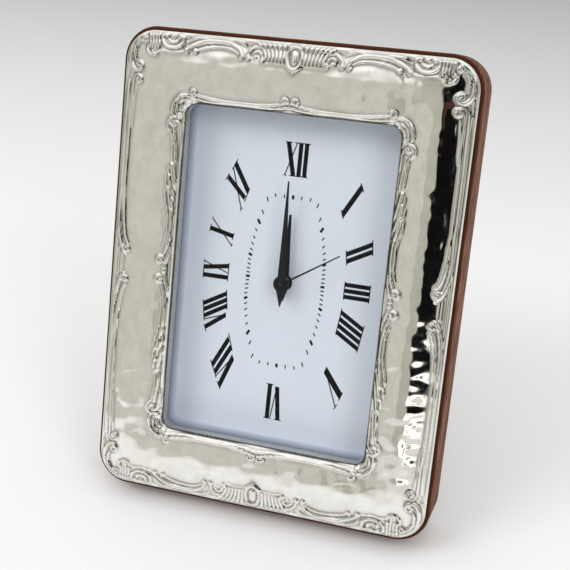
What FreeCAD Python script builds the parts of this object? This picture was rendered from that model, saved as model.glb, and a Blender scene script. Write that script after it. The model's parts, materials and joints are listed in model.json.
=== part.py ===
import FreeCAD, Part
import math
import os

os.makedirs("parts", exist_ok=True)
Vector = FreeCAD.Vector

# A table clock built like a photo frame: a pressed silver front over a wooden frame, glass, dial, hands,
# a quartz movement with its wheels, a back panel held by turn buttons, and a hinged easel strut.
# The pieces are drawn upright: X across, Y from the front to the back, Z up. The plane Y = 0 is the ledge
# of the wooden frame, on which the edge of the silver rests. leaned() then tips the clock back on the table.

# Lean and stance
lean_degrees = 18.1
strut_open_degrees = 36.0
foot_depth = 3.8          # how far the flat under the lower back edge reaches forward
table_slab = 60.0         # depth of the block that trims what would reach below the table

# Glass: the pane of a frame for a 10 by 15 cm picture, which sets the size of the front
glass_width = 100.0
glass_height = 150.0
glass_thickness = 1.6
glass_cover_x = 3.1       # how far the silver's wall stands in over the pane at the long sides
glass_cover_z = 2.1       # and at the short sides

# Silver front
silver_band = 29.3
silver_corner = 13.0
opening_corner = 5.0
silver_sheet = 0.5
silver_skirt = 0.9        # straight edge that stands on the wooden ledge
silver_crown = 5.4        # height of the swelling between the two borders
silver_lip = 2.8          # height at which the border turns into the opening
glass_front = 4.2         # depth at which the silver's wall meets the glass

# Wooden frame
ledge = 1.6
wood_front_edge = 1.0
wood_back_edge = 2.0

# What stands in the rabbet
rabbet_gap = 0.3
card_gap = 0.2            # how much smaller than the glass the card and board are, on each side
spacer_reveal = 0.5       # how far the spacer stands back behind the silver's wall
dial_face = 14.8          # depth of the printed face
dial_thickness = 0.5
backboard_thickness = 4.5
packing_depth = 3.7       # from the backboard to the back panel
panel_thickness = 3.0
packing_room_x = 8.0      # room left round the movement inside the packing frame, at the sides
packing_room_z = 22.0     # and above and below it

# Centre of the hands, a little below the centre of the opening
hand_centre_drop = 1.0

# Movement case
case_side = 56.0
case_corner = 3.0
case_depth = 16.5
case_wall = 1.2
case_end_wall = 1.0
case_split = 11.0         # depth of the front half
panel_window_gap = 1.0
bay_clearance = 0.1
post_width = 2.4
pivot_radius = 0.4
pivot_hole_depth = 0.5
running_gap = 0.05

# Battery cell
cell_radius = 7.1
cell_length = 49.2
cell_nub_radius = 2.75
cell_nub_length = 1.3
contact_thickness = 0.4
contact_width = 9.0
contact_bump_radius = 3.0
contact_gap = 0.05

# Fixing of the movement
bush_radius = 4.0
bush_length = 5.3
nut_flats = 11.0
nut_thickness = 2.0
washer_radius = 6.8
washer_thickness = 0.3
counterbore_radius = 7.4
counterbore_depth = 2.8
dial_hole_radius = 3.0

# Arbors and pipes on the centre
hour_pipe_radius = 2.6
cannon_radius = 1.7
cannon_sleeve_radius = 1.15

# Toothed wheels: modules
motion_module = 0.35
centre_module = 0.30
seconds_module = 0.32
rotor_module = 0.26

# Toothed wheels: numbers of teeth
hour_teeth = 32
minute_teeth = 30
minute_pinion_teeth = 8
cannon_teeth = 10
setting_teeth = 10
centre_teeth = 48
third_teeth = 45
third_pinion_teeth = 6
seconds_teeth = 30
seconds_pinion_teeth = 6
intermediate_teeth = 36
intermediate_pinion_teeth = 6
rotor_teeth = 6

# Toothed wheels: tooth form, as shares of the module
wheel_addendum_share = 0.95
wheel_root_share = 1.25
wheel_tip_share = 0.55
pinion_addendum_share = 0.50
pinion_root_share = 1.25
pinion_tip_share = 0.66
pinion_foot_share = 1.00

# Toothed wheels: directions of the arbors, in degrees from +X towards +Z
minute_wheel_direction = 90.0
setting_direction = 50.0
third_direction = 167.0
intermediate_direction = -20.0
rotor_direction = 25.0

# Toothed wheels: depths behind the inside of the front wall, and thicknesses
wheel_clearance = 0.3
hour_wheel_thickness = 1.2
minute_wheel_offset = 2.4
minute_wheel_thickness = 1.0
cannon_teeth_offset = 1.9
cannon_teeth_length = 1.8
centre_wheel_offset = 4.5
centre_wheel_thickness = 1.0
third_pinion_offset = 4.2
third_pinion_length = 1.6
middle_plate_offset = 6.4
middle_plate_thickness = 1.0
seconds_pinion_offset = 7.7
third_wheel_offset = 8.0
going_wheel_thickness = 0.8
seconds_wheel_offset = 9.5
intermediate_pinion_offset = 9.2
intermediate_wheel_offset = 11.3
rotor_pinion_offset = 11.0
rotor_magnet_radius = 2.2
rotor_magnet_offset = 7.8
rotor_magnet_length = 1.4
wheel_hub_radius = 1.1
minute_post_radius = 0.5

# Coil, stator and circuit
stator_offset = 7.4
stator_thickness = 1.0
stator_hole_radius = 2.7
stator_ring_radius = 4.4
stator_arm_width = 2.6
coil_x = 20.5
coil_low = -6.0
coil_high = 12.0
coil_flange = 0.8
coil_flange_radius = 4.2
coil_radius = 3.6
coil_tube_radius = 1.9
core_width = 2.6
stator_elbow_x = 14.0
core_overrun = 3.6
board_left_gap = 0.4
board_right = 10.0
board_low = 17.2
board_high_gap = 0.4
board_thickness = 1.0
crystal_radius = 1.0
crystal_length = 6.0
crystal_x = -20.0
crystal_z = 24.0
chip_radius = 2.6
chip_height = 1.0
chip_x = -8.0
chip_z = 21.6
plate_posts = [(-24.0, 13.0), (12.0, 13.0)]
board_posts = [(-20.0, 22.0), (5.0, 22.0)]

# Setting knob
knob_shaft_radius = 1.0
knob_radius = 6.0
knob_length = 3.5
knob_waist = 5.5          # radius at the bottom of the grooves
knob_rib_share = 0.45     # share of the rim that the ribs take
knob_ribs = 12
knob_gap = 0.4

# Hands
hub_radius = 3.6
hand_sheet = 0.4
hour_hand_height = 2.6    # front of the hour hand above the dial
minute_hand_height = 7.5
second_hand_height = 8.6
second_hand_sheet = 0.3
hour_length = 30.8
minute_length = 45.2
second_length = 29.9
hand_tail = 10.2
hand_width = 3.0
hand_tip_width = 0.6
hand_root_share = 0.9     # the blade's width at the hub, as a share of its widest
tail_width = 3.4
tail_tip_width = 0.3
widest_share = 0.42       # where along the hand its blade is widest
second_width = 0.5
second_hub_radius = 1.0
collet_wall = 0.5
collet_length = 0.8
second_collet_length = 0.6
hour_hand_degrees = -0.25
minute_hand_degrees = -1.1
second_hand_degrees = 57.0

# Turn buttons
button_length = 20.0
button_width = 6.4
button_thickness = 1.0
button_gap = 0.1
button_inset = 5.2        # from the rabbet's edge to the screw
button_end_room = 31.0    # from the pane's end to the height of the screw
screw_radius = 1.2
screw_length = 9.0
screw_head_radius = 2.4
screw_head_height = 1.0

# Strut hinge and leg
pin_room = 2.0            # between the fixed leaf's upper edge and the movement's window
pin_radius = 1.0
knuckle_radius = 1.9
knuckle_gap = 0.3
knuckle_length = 7.0
knuckle_play = 0.2
leaf_thickness = 0.8
leaf_lift = 0.4           # gap between the folded leaf and the fixed one
leaf_length = 12.0
leaf_width = 21.4
pin_overhang = 0.4
stop_height = 3.4
leaf_screw_radius = 0.8
leaf_screw_length = 2.2
leaf_screw_head_radius = 1.6
leaf_screw_head_height = 0.5
leaf_screw_spacing = 12.0
leaf_screw_share = 0.67   # how far along its leaf a screw stands
leg_thickness = 4.0
leg_top_width = 30.0
leg_foot_width = 42.0
leg_overrun = 6.0         # how far the uncut leg would reach below the table
leg_top_gap = 2.8
leg_corner = 3.0

overrun = 1.0             # how far cuts run past the faces that they pass through

# Round shapes are drawn with flats, which keeps the whole clock light
pin_limit_radius = 1.3    # bars thinner than this have the fewest flats
bar_limit_radius = 3.5    # bars thicker than this have the most
pin_flat_count = 10
bar_flat_count = 20
drum_flat_count = 32
case_flat_count = 4            # per quarter turn, at the small corners of boards and cases
frame_flat_count = 8           # per quarter turn, at the corners of the silver and the wood

# Sizes worked out from the ones above
opening_width = glass_width - 2 * glass_cover_x
opening_height = glass_height - 2 * glass_cover_z
silver_width = opening_width + 2 * silver_band
silver_height = opening_height + 2 * silver_band
wood_width = silver_width + 2 * ledge
wood_height = silver_height + 2 * ledge
wood_corner = silver_corner + ledge
glass_back = glass_front + glass_thickness
dial_back = dial_face + dial_thickness
case_front = dial_back + backboard_thickness
case_inside = case_front + case_end_wall
case_back = case_front + case_depth
case_rear_inside = case_back - case_end_wall
case_half = case_side / 2
inner_half = case_half - case_wall
panel_front = case_front + packing_depth
wood_depth = panel_front + panel_thickness
centre_z = -hand_centre_drop
bay_height = 2 * (cell_radius + bay_clearance)
bay_low = -inner_half
bay_top = bay_low + bay_height
wall_top = bay_top + case_wall
cell_z = bay_low + bay_height / 2
cell_y = case_inside + bay_clearance + cell_radius
lean = math.radians(lean_degrees)


def polar(distance, degrees):
    """A point at a distance and a direction from the centre of the hands."""
    angle = math.radians(degrees)
    return (distance * math.cos(angle), distance * math.sin(angle))


def add(point, step):
    return (point[0] + step[0], point[1] + step[1])


# Places of the arbors, from the numbers of teeth and the modules
motion_distance = motion_module * (hour_teeth + minute_pinion_teeth) / 2
third_distance = centre_module * (centre_teeth + third_pinion_teeth) / 2
third_module = 2 * third_distance / (third_teeth + seconds_pinion_teeth)
intermediate_distance = seconds_module * (seconds_teeth + intermediate_pinion_teeth) / 2
rotor_distance = rotor_module * (intermediate_teeth + rotor_teeth) / 2
centre_at = (0, 0)
minute_at = polar(motion_distance, minute_wheel_direction)
setting_at = add(minute_at, polar(motion_distance, setting_direction))
third_at = polar(third_distance, third_direction)
intermediate_at = polar(intermediate_distance, intermediate_direction)
rotor_at = add(intermediate_at, polar(rotor_distance, rotor_direction))


# Basic shapes, all drawn in the upright clock

def block(x0, x1, y0, y1, z0, z1):
    return Part.makeBox(x1 - x0, y1 - y0, z1 - z0, Vector(x0, y0, z0))


def bar(radius, start, along, length, hole=False):
    """A round bar, turned with flats. Where a bar turns in a hole, hole=True lays the flats at the radius in
    place of the corners, so that the running gap holds."""
    sides = bar_flat_count if radius < bar_limit_radius else drum_flat_count
    if radius < pin_limit_radius:
        sides = pin_flat_count
    reach = radius / math.cos(math.pi / sides) if hole else radius
    across = Vector(1, 0, 0) if along.x == 0 else Vector(0, 1, 0)
    beside = along.cross(across)
    points = []
    for index in range(sides):
        angle = 2 * math.pi * index / sides
        points.append(start + across * (reach * math.cos(angle)) + beside * (reach * math.sin(angle)))
    return flat_face(points).extrude(along * length)


def rod(radius, y0, y1, at=(0, 0), base_z=centre_z, hole=False):
    """A round bar along Y, placed from the centre of the hands."""
    return bar(radius, Vector(at[0], y0, base_z + at[1]), Vector(0, 1, 0), y1 - y0, hole)


def running_hole(radius, y0, y1, at=(0, 0), base_z=centre_z):
    """The hole in which a bar of this radius turns."""
    return rod(radius + running_gap, y0, y1, at, base_z, hole=True)


def tube(radius, bore, y0, y1, at=(0, 0), base_z=centre_z):
    outside = rod(radius, y0, y1, at, base_z)
    return outside.cut(rod(bore, y0 - overrun, y1 + overrun, at, base_z))


def slab(points, y0, y1):
    """A flat piece whose outline in X and Z is a list of points."""
    corners = [Vector(x, y0, z) for x, z in points]
    return flat_face(corners).extrude(Vector(0, y1 - y0, 0))


def rounded_outline(half_w, half_h, radius, y, flats, cx=0, cz=0):
    """The corners of a rounded rectangle in the plane of a depth y, always in the same order."""
    points = []
    for index, (sx, sz) in enumerate(((1, 1), (-1, 1), (-1, -1), (1, -1))):
        mid = Vector(cx + sx * (half_w - radius), y, cz + sz * (half_h - radius))
        for step in range(flats + 1):
            angle = math.pi / 2 * (index + step / flats)
            points.append(mid + Vector(radius * math.cos(angle), 0, radius * math.sin(angle)))
    return points


def flat_face(points):
    return Part.Face(Part.makePolygon(points + points[:1]))


def rounded_slab(half_w, half_h, radius, y0, y1, cx=0, cz=0):
    face = flat_face(rounded_outline(half_w, half_h, radius, y0, case_flat_count, cx, cz))
    return face.extrude(Vector(0, y1 - y0, 0))


def frame_solid(profile):
    """A closed ring whose section is a list of (half width, half height, corner radius, depth). Neighbouring
    outlines have parallel sides, so every face between them is flat."""
    rings = [rounded_outline(*station, frame_flat_count) for station in profile]
    faces = []
    for index, ring in enumerate(rings):
        following = rings[(index + 1) % len(rings)]
        for corner in range(len(ring)):
            beyond = (corner + 1) % len(ring)
            faces.append(flat_face([ring[corner], ring[beyond], following[beyond], following[corner]]))
    shell = Part.makeShell(faces)
    shell.sewShape()
    solid = Part.makeSolid(Part.makeShell(shell.Faces))
    if solid.Volume < 0:
        solid.reverse()
    return solid


# Placing on the table: the clock turns back about X and stands on the flat of its lower back edge

rise = wood_height / 2 * math.cos(lean) + (wood_depth - foot_depth) * math.sin(lean)


def leaned(shape):
    moved = shape.copy()
    moved.rotate(Vector(0, 0, 0), Vector(1, 0, 0), -lean_degrees)
    moved.translate(Vector(0, 0, rise))
    return moved


# Silver front: heights of the pressed profile, from the outer edge (0) to the opening (1)

silver_height_shares = [
    (0.000, 0.00), (0.012, 0.22), (0.060, 0.40), (0.140, 0.56), (0.280, 0.78), (0.430, 0.95),
    (0.580, 1.00), (0.740, 0.94), (0.880, 0.82), (0.955, 0.66),
]


def band_station(inset, depth):
    """A rounded rectangle that lies an inset inside the silver's outer edge."""
    share = inset / silver_band
    radius = silver_corner + (opening_corner - silver_corner) * share
    return (silver_width / 2 - inset, silver_height / 2 - inset, radius, depth)


def front_profile():
    """Points (inset, depth) over the silver's visible face, from the ledge to the foot of the wall."""
    points = [(0, 0)]
    for across, up in silver_height_shares:
        height = silver_skirt + (silver_crown - silver_skirt) * up
        points.append((across * silver_band, -height))
    points.append((silver_band, -silver_lip))
    points.append((silver_band, glass_front))
    return points


def back_profile(points):
    """The same points moved one sheet thickness towards the wood."""
    moved = []
    last = len(points) - 1
    for index, (inset, depth) in enumerate(points):
        before = points[max(index - 1, 0)]
        after = points[min(index + 1, last)]
        along = (after[0] - before[0], after[1] - before[1])
        length = math.hypot(*along)
        step_in = -along[1] / length * silver_sheet
        step_back = along[0] / length * silver_sheet
        moved.append((inset + step_in, depth + step_back))
    moved[0] = (silver_sheet, 0)
    moved[last] = (silver_band - silver_sheet, glass_front)
    return moved


silver_face = front_profile()
silver_seat = back_profile(silver_face)[::2]


def make_silver_front():
    section = [band_station(*point) for point in silver_face]
    section += [band_station(*point) for point in reversed(silver_seat)]
    return frame_solid(section)


def wood_station(inset, depth):
    """A rounded rectangle that lies an inset inside the wood's outer edge."""
    return (wood_width / 2 - inset, wood_height / 2 - inset, wood_corner - inset, depth)


def make_wood_frame():
    """The wooden frame, from the silver's seat over the opening to the broken outer edges, with a rabbet."""
    section = [band_station(*point) for point in silver_seat]
    section.append(band_station(silver_band - silver_sheet, wood_depth))
    section.append(wood_station(wood_back_edge, wood_depth))
    section.append(wood_station(0, wood_depth - wood_back_edge))
    section.append(wood_station(0, wood_front_edge))
    section.append(wood_station(wood_front_edge, 0))
    frame = frame_solid(section)
    half_w = glass_width / 2 + rabbet_gap
    half_h = glass_height / 2 + rabbet_gap
    frame = frame.cut(pane(half_w, half_h, glass_front, wood_depth + overrun))
    for x, z in button_places.values():
        frame = frame.cut(rod(screw_radius, wood_depth - screw_length, wood_depth + overrun, (x, z), 0))
    return frame


# Glass, spacer, dial, boards

def pane(half_w, half_h, y0, y1):
    return block(-half_w, half_w, y0, y1, -half_h, half_h)


def make_glass():
    return pane(glass_width / 2, glass_height / 2, glass_front, glass_back)


def make_spacer():
    """A white frame that keeps the dial away from the glass, so that the hands have room."""
    outside = pane(glass_width / 2, glass_height / 2, glass_back, dial_face)
    half_w = opening_width / 2 + spacer_reveal
    half_h = opening_height / 2 + spacer_reveal
    inside = rounded_slab(half_w, half_h, opening_corner, glass_back - overrun, dial_face + overrun)
    return outside.cut(inside)


def card_half():
    return (glass_width / 2 - card_gap, glass_height / 2 - card_gap)


def make_dial():
    plate = pane(*card_half(), dial_face, dial_back)
    return plate.cut(rod(dial_hole_radius, dial_face - overrun, dial_back + overrun))


def make_backboard():
    board = pane(*card_half(), dial_back, case_front)
    board = board.cut(rod(counterbore_radius, dial_back - overrun, dial_back + counterbore_depth))
    return board.cut(rod(bush_radius, dial_back, case_front + overrun))


def make_packing():
    """Four wooden rails in one frame, which fill the space between the backboard and the back panel."""
    outside = pane(*card_half(), case_front, panel_front)
    half_w = case_half + packing_room_x
    half_h = case_half + packing_room_z
    inside = pane(half_w, half_h, case_front - overrun, panel_front + overrun)
    return outside.cut(inside)


def make_back_panel():
    half_w, half_h = card_half()
    panel = pane(half_w, half_h, panel_front, wood_depth)
    window = case_half + panel_window_gap
    y1 = wood_depth + overrun
    panel = panel.cut(rounded_slab(window, window, case_corner, panel_front - overrun, y1, 0, centre_z))
    for x in leaf_screw_places:
        y0 = wood_depth - leaf_screw_length + leaf_thickness
        panel = panel.cut(rod(leaf_screw_radius, y0, y1, (x, fixed_screw_z), 0))
    return panel


# Turn buttons: flat brass bars on one screw each, at the long sides of the back panel

button_x = glass_width / 2 + rabbet_gap + button_inset
button_height = glass_height / 2 - button_end_room
button_places = {
    "upper_left": (-button_x, button_height),
    "upper_right": (button_x, button_height),
    "lower_left": (-button_x, -button_height),
    "lower_right": (button_x, -button_height),
}
button_front = wood_depth + button_gap
button_back = button_front + button_thickness


def make_turn_button(x, z):
    """A round-ended bar that points from its screw towards the middle of the panel."""
    side = -1 if x > 0 else 1
    far_x = x + side * (button_length - button_width)
    radius = button_width / 2
    low = min(x, far_x)
    high = max(x, far_x)
    plate = block(low, high, button_front, button_back, z - radius, z + radius)
    plate = plate.fuse(rod(radius, button_front, button_back, (x, z), 0))
    plate = plate.fuse(rod(radius, button_front, button_back, (far_x, z), 0))
    hole = running_hole(screw_radius, button_front - overrun, button_back + overrun, (x, z), 0)
    return plate.removeSplitter().cut(hole)


def make_button_screws():
    screws = []
    for x, z in button_places.values():
        head_front = button_back + button_gap
        shank = rod(screw_radius, wood_depth - screw_length, head_front, (x, z), 0)
        head = rod(screw_head_radius, head_front, head_front + screw_head_height, (x, z), 0)
        screws.append(shank.fuse(head))
    return Part.makeCompound(screws)


# Strut: a wooden leg on a brass butt hinge below the movement

pin_y = wood_depth + knuckle_gap + knuckle_radius
pin_height = centre_z - case_half - panel_window_gap - pin_room - leaf_length
pin_at = Vector(0, pin_y, pin_height)
fixed_screw_z = pin_height + leaf_length * leaf_screw_share
moving_screw_z = pin_height - leaf_length * leaf_screw_share
leaf_screw_places = (-leaf_screw_spacing / 2, leaf_screw_spacing / 2)
folded_leaf_front = wood_depth + leaf_thickness + leaf_lift
folded_leaf_back = folded_leaf_front + leaf_thickness


def along_pin(radius, x0, x1, hole=False):
    return bar(radius, Vector(x0, pin_y, pin_height), Vector(1, 0, 0), x1 - x0, hole)


def opened(shape):
    """Turn a piece of the strut from folded flat to standing open."""
    moved = shape.copy()
    moved.rotate(pin_at, Vector(1, 0, 0), strut_open_degrees)
    return moved


def make_fixed_leaf():
    half = leaf_width / 2
    inner = knuckle_length / 2 + knuckle_play
    plate_low = pin_height + knuckle_radius + knuckle_play
    plate = block(-half, half, wood_depth, wood_depth + leaf_thickness, plate_low, pin_height + leaf_length)
    leaf = plate
    for x0, x1 in ((-half, -inner), (inner, half)):
        leaf = leaf.fuse(along_pin(knuckle_radius, x0, x1))
        leaf = leaf.fuse(block(x0, x1, wood_depth, wood_depth + leaf_thickness, pin_height, plate_low))
    leaf = leaf.cut(along_pin(pin_radius, -half - overrun, half + overrun))
    for x in leaf_screw_places:
        leaf = leaf.cut(rod(leaf_screw_radius, wood_depth - overrun, pin_y, (x, fixed_screw_z), 0))
    return leaf


def make_moving_leaf():
    """The leaf on the leg, with the lug that stops it at the open position."""
    half = leaf_width / 2
    inner = knuckle_length / 2
    plate_top = pin_height - knuckle_radius - knuckle_play
    low = pin_height - leaf_length
    leaf = block(-half, half, folded_leaf_front, folded_leaf_back, low, plate_top)
    leaf = leaf.fuse(block(-inner, inner, folded_leaf_front, folded_leaf_back, plate_top, pin_height))
    for x in leaf_screw_places:
        end = folded_leaf_back + overrun
        leaf = leaf.cut(rod(leaf_screw_radius, wood_depth, end, (x, moving_screw_z), 0))
    leaf = opened(leaf)
    leaf = leaf.fuse(along_pin(knuckle_radius, -inner, inner))
    lug_low = pin_height + knuckle_radius + knuckle_play
    lug = block(-inner, inner, wood_depth + leaf_thickness, pin_y, pin_height, lug_low + stop_height / 2)
    leaf = leaf.fuse(lug)
    return leaf.cut(along_pin(pin_radius + running_gap, -half - overrun, half + overrun, hole=True))


def make_hinge_pin():
    half = leaf_width / 2 + pin_overhang
    return along_pin(pin_radius, -half, half)


def leaf_screw(x, z, surface, inwards):
    """A small screw whose head lies on a surface; inwards is the way its shank points along Y."""
    head_y = surface - inwards * leaf_screw_head_height
    tip_y = surface + inwards * leaf_screw_length
    head = rod(leaf_screw_head_radius, min(surface, head_y), max(surface, head_y), (x, z), 0)
    shank = rod(leaf_screw_radius, min(surface, tip_y), max(surface, tip_y), (x, z), 0)
    return head.fuse(shank)


def make_panel_screws():
    surface = wood_depth + leaf_thickness
    screws = [leaf_screw(x, fixed_screw_z, surface, -1) for x in leaf_screw_places]
    return Part.makeCompound(screws)


def make_leg_screws():
    screws = [opened(leaf_screw(x, moving_screw_z, folded_leaf_front, 1)) for x in leaf_screw_places]
    return Part.makeCompound(screws)


def make_leg():
    """The wooden leg: narrow at the hinge, wide at the foot, cut off level with the table."""
    top = pin_height - leg_top_gap
    stands = math.radians(strut_open_degrees) - lean
    pin_above_table = rise + pin_height * math.cos(lean) - pin_y * math.sin(lean)
    low = pin_height - pin_above_table / math.cos(stands) - leg_overrun
    outline = [(-leg_top_width / 2, top), (leg_top_width / 2, top), (leg_foot_width / 2, low),
               (-leg_foot_width / 2, low)]
    leg = slab(outline, folded_leaf_back, folded_leaf_back + leg_thickness)
    edges = [edge for edge in leg.Edges if edge.BoundBox.YLength > leg_thickness / 2]
    leg = leg.makeChamfer(leg_corner, [edge for edge in edges if edge.BoundBox.ZMin > low + leg_corner])
    for x in leaf_screw_places:
        hole_end = folded_leaf_front + leaf_screw_length
        leg = leg.cut(rod(leaf_screw_radius, wood_depth, hole_end, (x, moving_screw_z), 0))
    return opened(leg)


# Toothed wheels

def tooth_outline(at, teeth, corners, phase_degrees, y):
    """One closed outline: the corners of a tooth, as (radius, half thickness), repeated round the centre."""
    points = []
    pitch = 2 * math.pi / teeth
    for tooth in range(teeth):
        middle = math.radians(phase_degrees) + tooth * pitch
        for radius, offset in corners:
            angle = middle + offset / radius
            x = at[0] + radius * math.cos(angle)
            z = centre_z + at[1] + radius * math.sin(angle)
            points.append(Vector(x, y, z))
    return flat_face(points)


def wheel_teeth(at, teeth, module, phase_degrees, y0, y1):
    """A wheel with narrow-topped teeth and V-shaped gaps."""
    pitch_radius = module * teeth / 2
    root_radius = pitch_radius - wheel_root_share * module
    tip_radius = pitch_radius + wheel_addendum_share * module
    tip_half = wheel_tip_share * module / 2
    root_offset = -math.pi * root_radius / teeth
    corners = [(root_radius, root_offset), (tip_radius, -tip_half), (tip_radius, tip_half)]
    return tooth_outline(at, teeth, corners, phase_degrees, y0).extrude(Vector(0, y1 - y0, 0))


def pinion_leaves(at, teeth, module, phase_degrees, y0, y1):
    """A pinion with a few thin leaves."""
    pitch_radius = module * teeth / 2
    root_radius = pitch_radius - pinion_root_share * module
    tip_radius = pitch_radius + pinion_addendum_share * module
    tip_half = pinion_tip_share * module / 2
    foot_half = pinion_foot_share * module / 2
    corners = [(root_radius, -foot_half), (tip_radius, -tip_half), (tip_radius, tip_half),
               (root_radius, foot_half)]
    return tooth_outline(at, teeth, corners, phase_degrees, y0).extrude(Vector(0, y1 - y0, 0))


def meshing_phase(direction, teeth):
    """Phase of a wheel that has a gap where its partner, at this direction, has a tooth."""
    return direction + 180.0 / teeth


cannon_phase = minute_wheel_direction
minute_phase = meshing_phase(minute_wheel_direction + 180.0, minute_teeth)
minute_pinion_phase = minute_wheel_direction + 180.0
hour_phase = meshing_phase(minute_wheel_direction, hour_teeth)
past_tooth = (setting_direction - minute_phase) % (360.0 / minute_teeth)
setting_turn = past_tooth * minute_teeth / setting_teeth
setting_phase = meshing_phase(setting_direction + 180.0 + setting_turn, setting_teeth)
third_pinion_phase = third_direction + 180.0
centre_phase = meshing_phase(third_direction, centre_teeth)
seconds_pinion_phase = third_direction
third_phase = meshing_phase(third_direction + 180.0, third_teeth)
intermediate_pinion_phase = intermediate_direction + 180.0
seconds_phase = meshing_phase(intermediate_direction, seconds_teeth)
rotor_phase = rotor_direction + 180.0
intermediate_phase = meshing_phase(rotor_direction, intermediate_teeth)


def deep(offset):
    """Depth of a plane inside the movement, from the inside of its front wall."""
    return case_inside + offset


pivot_front = case_inside - pivot_hole_depth + running_gap
pivot_back = case_rear_inside + pivot_hole_depth - running_gap
cannon_front = dial_face - minute_hand_height
hour_pipe_front = dial_face - hour_hand_height
seconds_front = dial_face - second_hand_height
knob_bore_end = case_back + knob_gap + knob_length / 2


def make_hour_wheel():
    y0 = deep(wheel_clearance)
    wheel = wheel_teeth(centre_at, hour_teeth, motion_module, hour_phase, y0, y0 + hour_wheel_thickness)
    y1 = y0 + hour_wheel_thickness
    wheel = wheel.fuse(rod(hour_pipe_radius, hour_pipe_front, y1))
    return wheel.cut(running_hole(cannon_radius, hour_pipe_front - overrun, y1 + overrun))


def make_cannon():
    y0 = deep(cannon_teeth_offset)
    y1 = y0 + cannon_teeth_length
    sleeve_end = deep(centre_wheel_offset + centre_wheel_thickness + wheel_clearance)
    body = pinion_leaves(centre_at, cannon_teeth, motion_module, cannon_phase, y0, y1)
    body = body.fuse(rod(cannon_radius, cannon_front, y0 - wheel_clearance / 2))
    body = body.fuse(rod(cannon_sleeve_radius, y0 - wheel_clearance / 2, sleeve_end))
    return body.cut(running_hole(pivot_radius, cannon_front - overrun, sleeve_end + overrun))


def make_minute_wheel():
    y0 = deep(minute_wheel_offset)
    pinion_front = deep(wheel_clearance)
    wheel = wheel_teeth(minute_at, minute_teeth, motion_module, minute_phase, y0, y0 + minute_wheel_thickness)
    pinion = pinion_leaves(minute_at, minute_pinion_teeth, motion_module, minute_pinion_phase,
                           pinion_front, y0)
    bore = running_hole(minute_post_radius, case_inside, y0 + 2 * minute_wheel_thickness, minute_at)
    return wheel.fuse(pinion).cut(bore)


def make_setting_pinion():
    y0 = deep(minute_wheel_offset - wheel_clearance)
    y1 = y0 + cannon_teeth_length
    body = pinion_leaves(setting_at, setting_teeth, motion_module, setting_phase, y0, y1)
    body = body.fuse(rod(pivot_radius, pivot_front, y0, setting_at))
    return body.fuse(rod(knob_shaft_radius, y1, knob_bore_end, setting_at))


def make_setting_knob():
    """A ribbed plastic knob pressed on the setting shaft, outside the rear case."""
    y0 = case_back + knob_gap
    groove_share = (1 + knob_rib_share) / 2
    corners = ((0, knob_radius), (knob_rib_share, knob_radius), (groove_share, knob_waist))
    outline = []
    for rib in range(knob_ribs):
        for share, radius in corners:
            x, z = add(setting_at, polar(radius, 360.0 * (rib + share) / knob_ribs))
            outline.append((x, centre_z + z))
    knob = slab(outline, y0, y0 + knob_length)
    return knob.cut(rod(knob_shaft_radius, y0 - overrun, knob_bore_end, setting_at))


def make_centre_wheel():
    y0 = deep(centre_wheel_offset)
    y1 = y0 + centre_wheel_thickness
    wheel = wheel_teeth(centre_at, centre_teeth, centre_module, centre_phase, y0, y1)
    wheel = wheel.fuse(rod(2 * wheel_hub_radius, y0, y1 + wheel_clearance))
    return wheel.cut(running_hole(cannon_sleeve_radius, y0 - overrun, y1 + overrun))


def make_third_wheel():
    pinion_y = deep(third_pinion_offset)
    wheel_y = deep(third_wheel_offset)
    wheel_end = wheel_y + going_wheel_thickness
    body = pinion_leaves(third_at, third_pinion_teeth, centre_module, third_pinion_phase, pinion_y,
                         pinion_y + third_pinion_length)
    body = body.fuse(wheel_teeth(third_at, third_teeth, third_module, third_phase, wheel_y, wheel_end))
    return body.fuse(rod(pivot_radius, pivot_front, pivot_back, third_at)).removeSplitter()


def make_seconds_wheel():
    pinion_y = deep(seconds_pinion_offset)
    wheel_y = deep(seconds_wheel_offset)
    wheel_end = wheel_y + going_wheel_thickness
    pinion = pinion_leaves(centre_at, seconds_pinion_teeth, third_module, seconds_pinion_phase,
                           pinion_y, wheel_y)
    wheel = wheel_teeth(centre_at, seconds_teeth, seconds_module, seconds_phase, wheel_y, wheel_end)
    return wheel.fuse(pinion).cut(rod(pivot_radius, pinion_y - overrun, wheel_end + overrun))


def make_seconds_arbor():
    return rod(pivot_radius, seconds_front, pivot_back)


def make_intermediate_wheel():
    pinion_y = deep(intermediate_pinion_offset)
    wheel_y = deep(intermediate_wheel_offset)
    wheel_end = wheel_y + going_wheel_thickness
    body = pinion_leaves(intermediate_at, intermediate_pinion_teeth, seconds_module,
                         intermediate_pinion_phase, pinion_y, wheel_y)
    body = body.fuse(wheel_teeth(intermediate_at, intermediate_teeth, rotor_module, intermediate_phase,
                                 wheel_y, wheel_end))
    front = deep(middle_plate_offset) + running_gap
    return body.fuse(rod(pivot_radius, front, pivot_back, intermediate_at)).removeSplitter()


def make_rotor_pinion():
    pinion_y = deep(rotor_pinion_offset)
    end = deep(intermediate_wheel_offset) + going_wheel_thickness + wheel_clearance
    body = pinion_leaves(rotor_at, rotor_teeth, rotor_module, rotor_phase, pinion_y, end)
    front = deep(middle_plate_offset) + running_gap
    return body.fuse(rod(pivot_radius, front, pivot_back, rotor_at)).removeSplitter()


def make_rotor_magnet():
    y0 = deep(rotor_magnet_offset)
    return tube(rotor_magnet_radius, pivot_radius, y0, y0 + rotor_magnet_length, rotor_at)


# Movement case, plates and electrical parts

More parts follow.
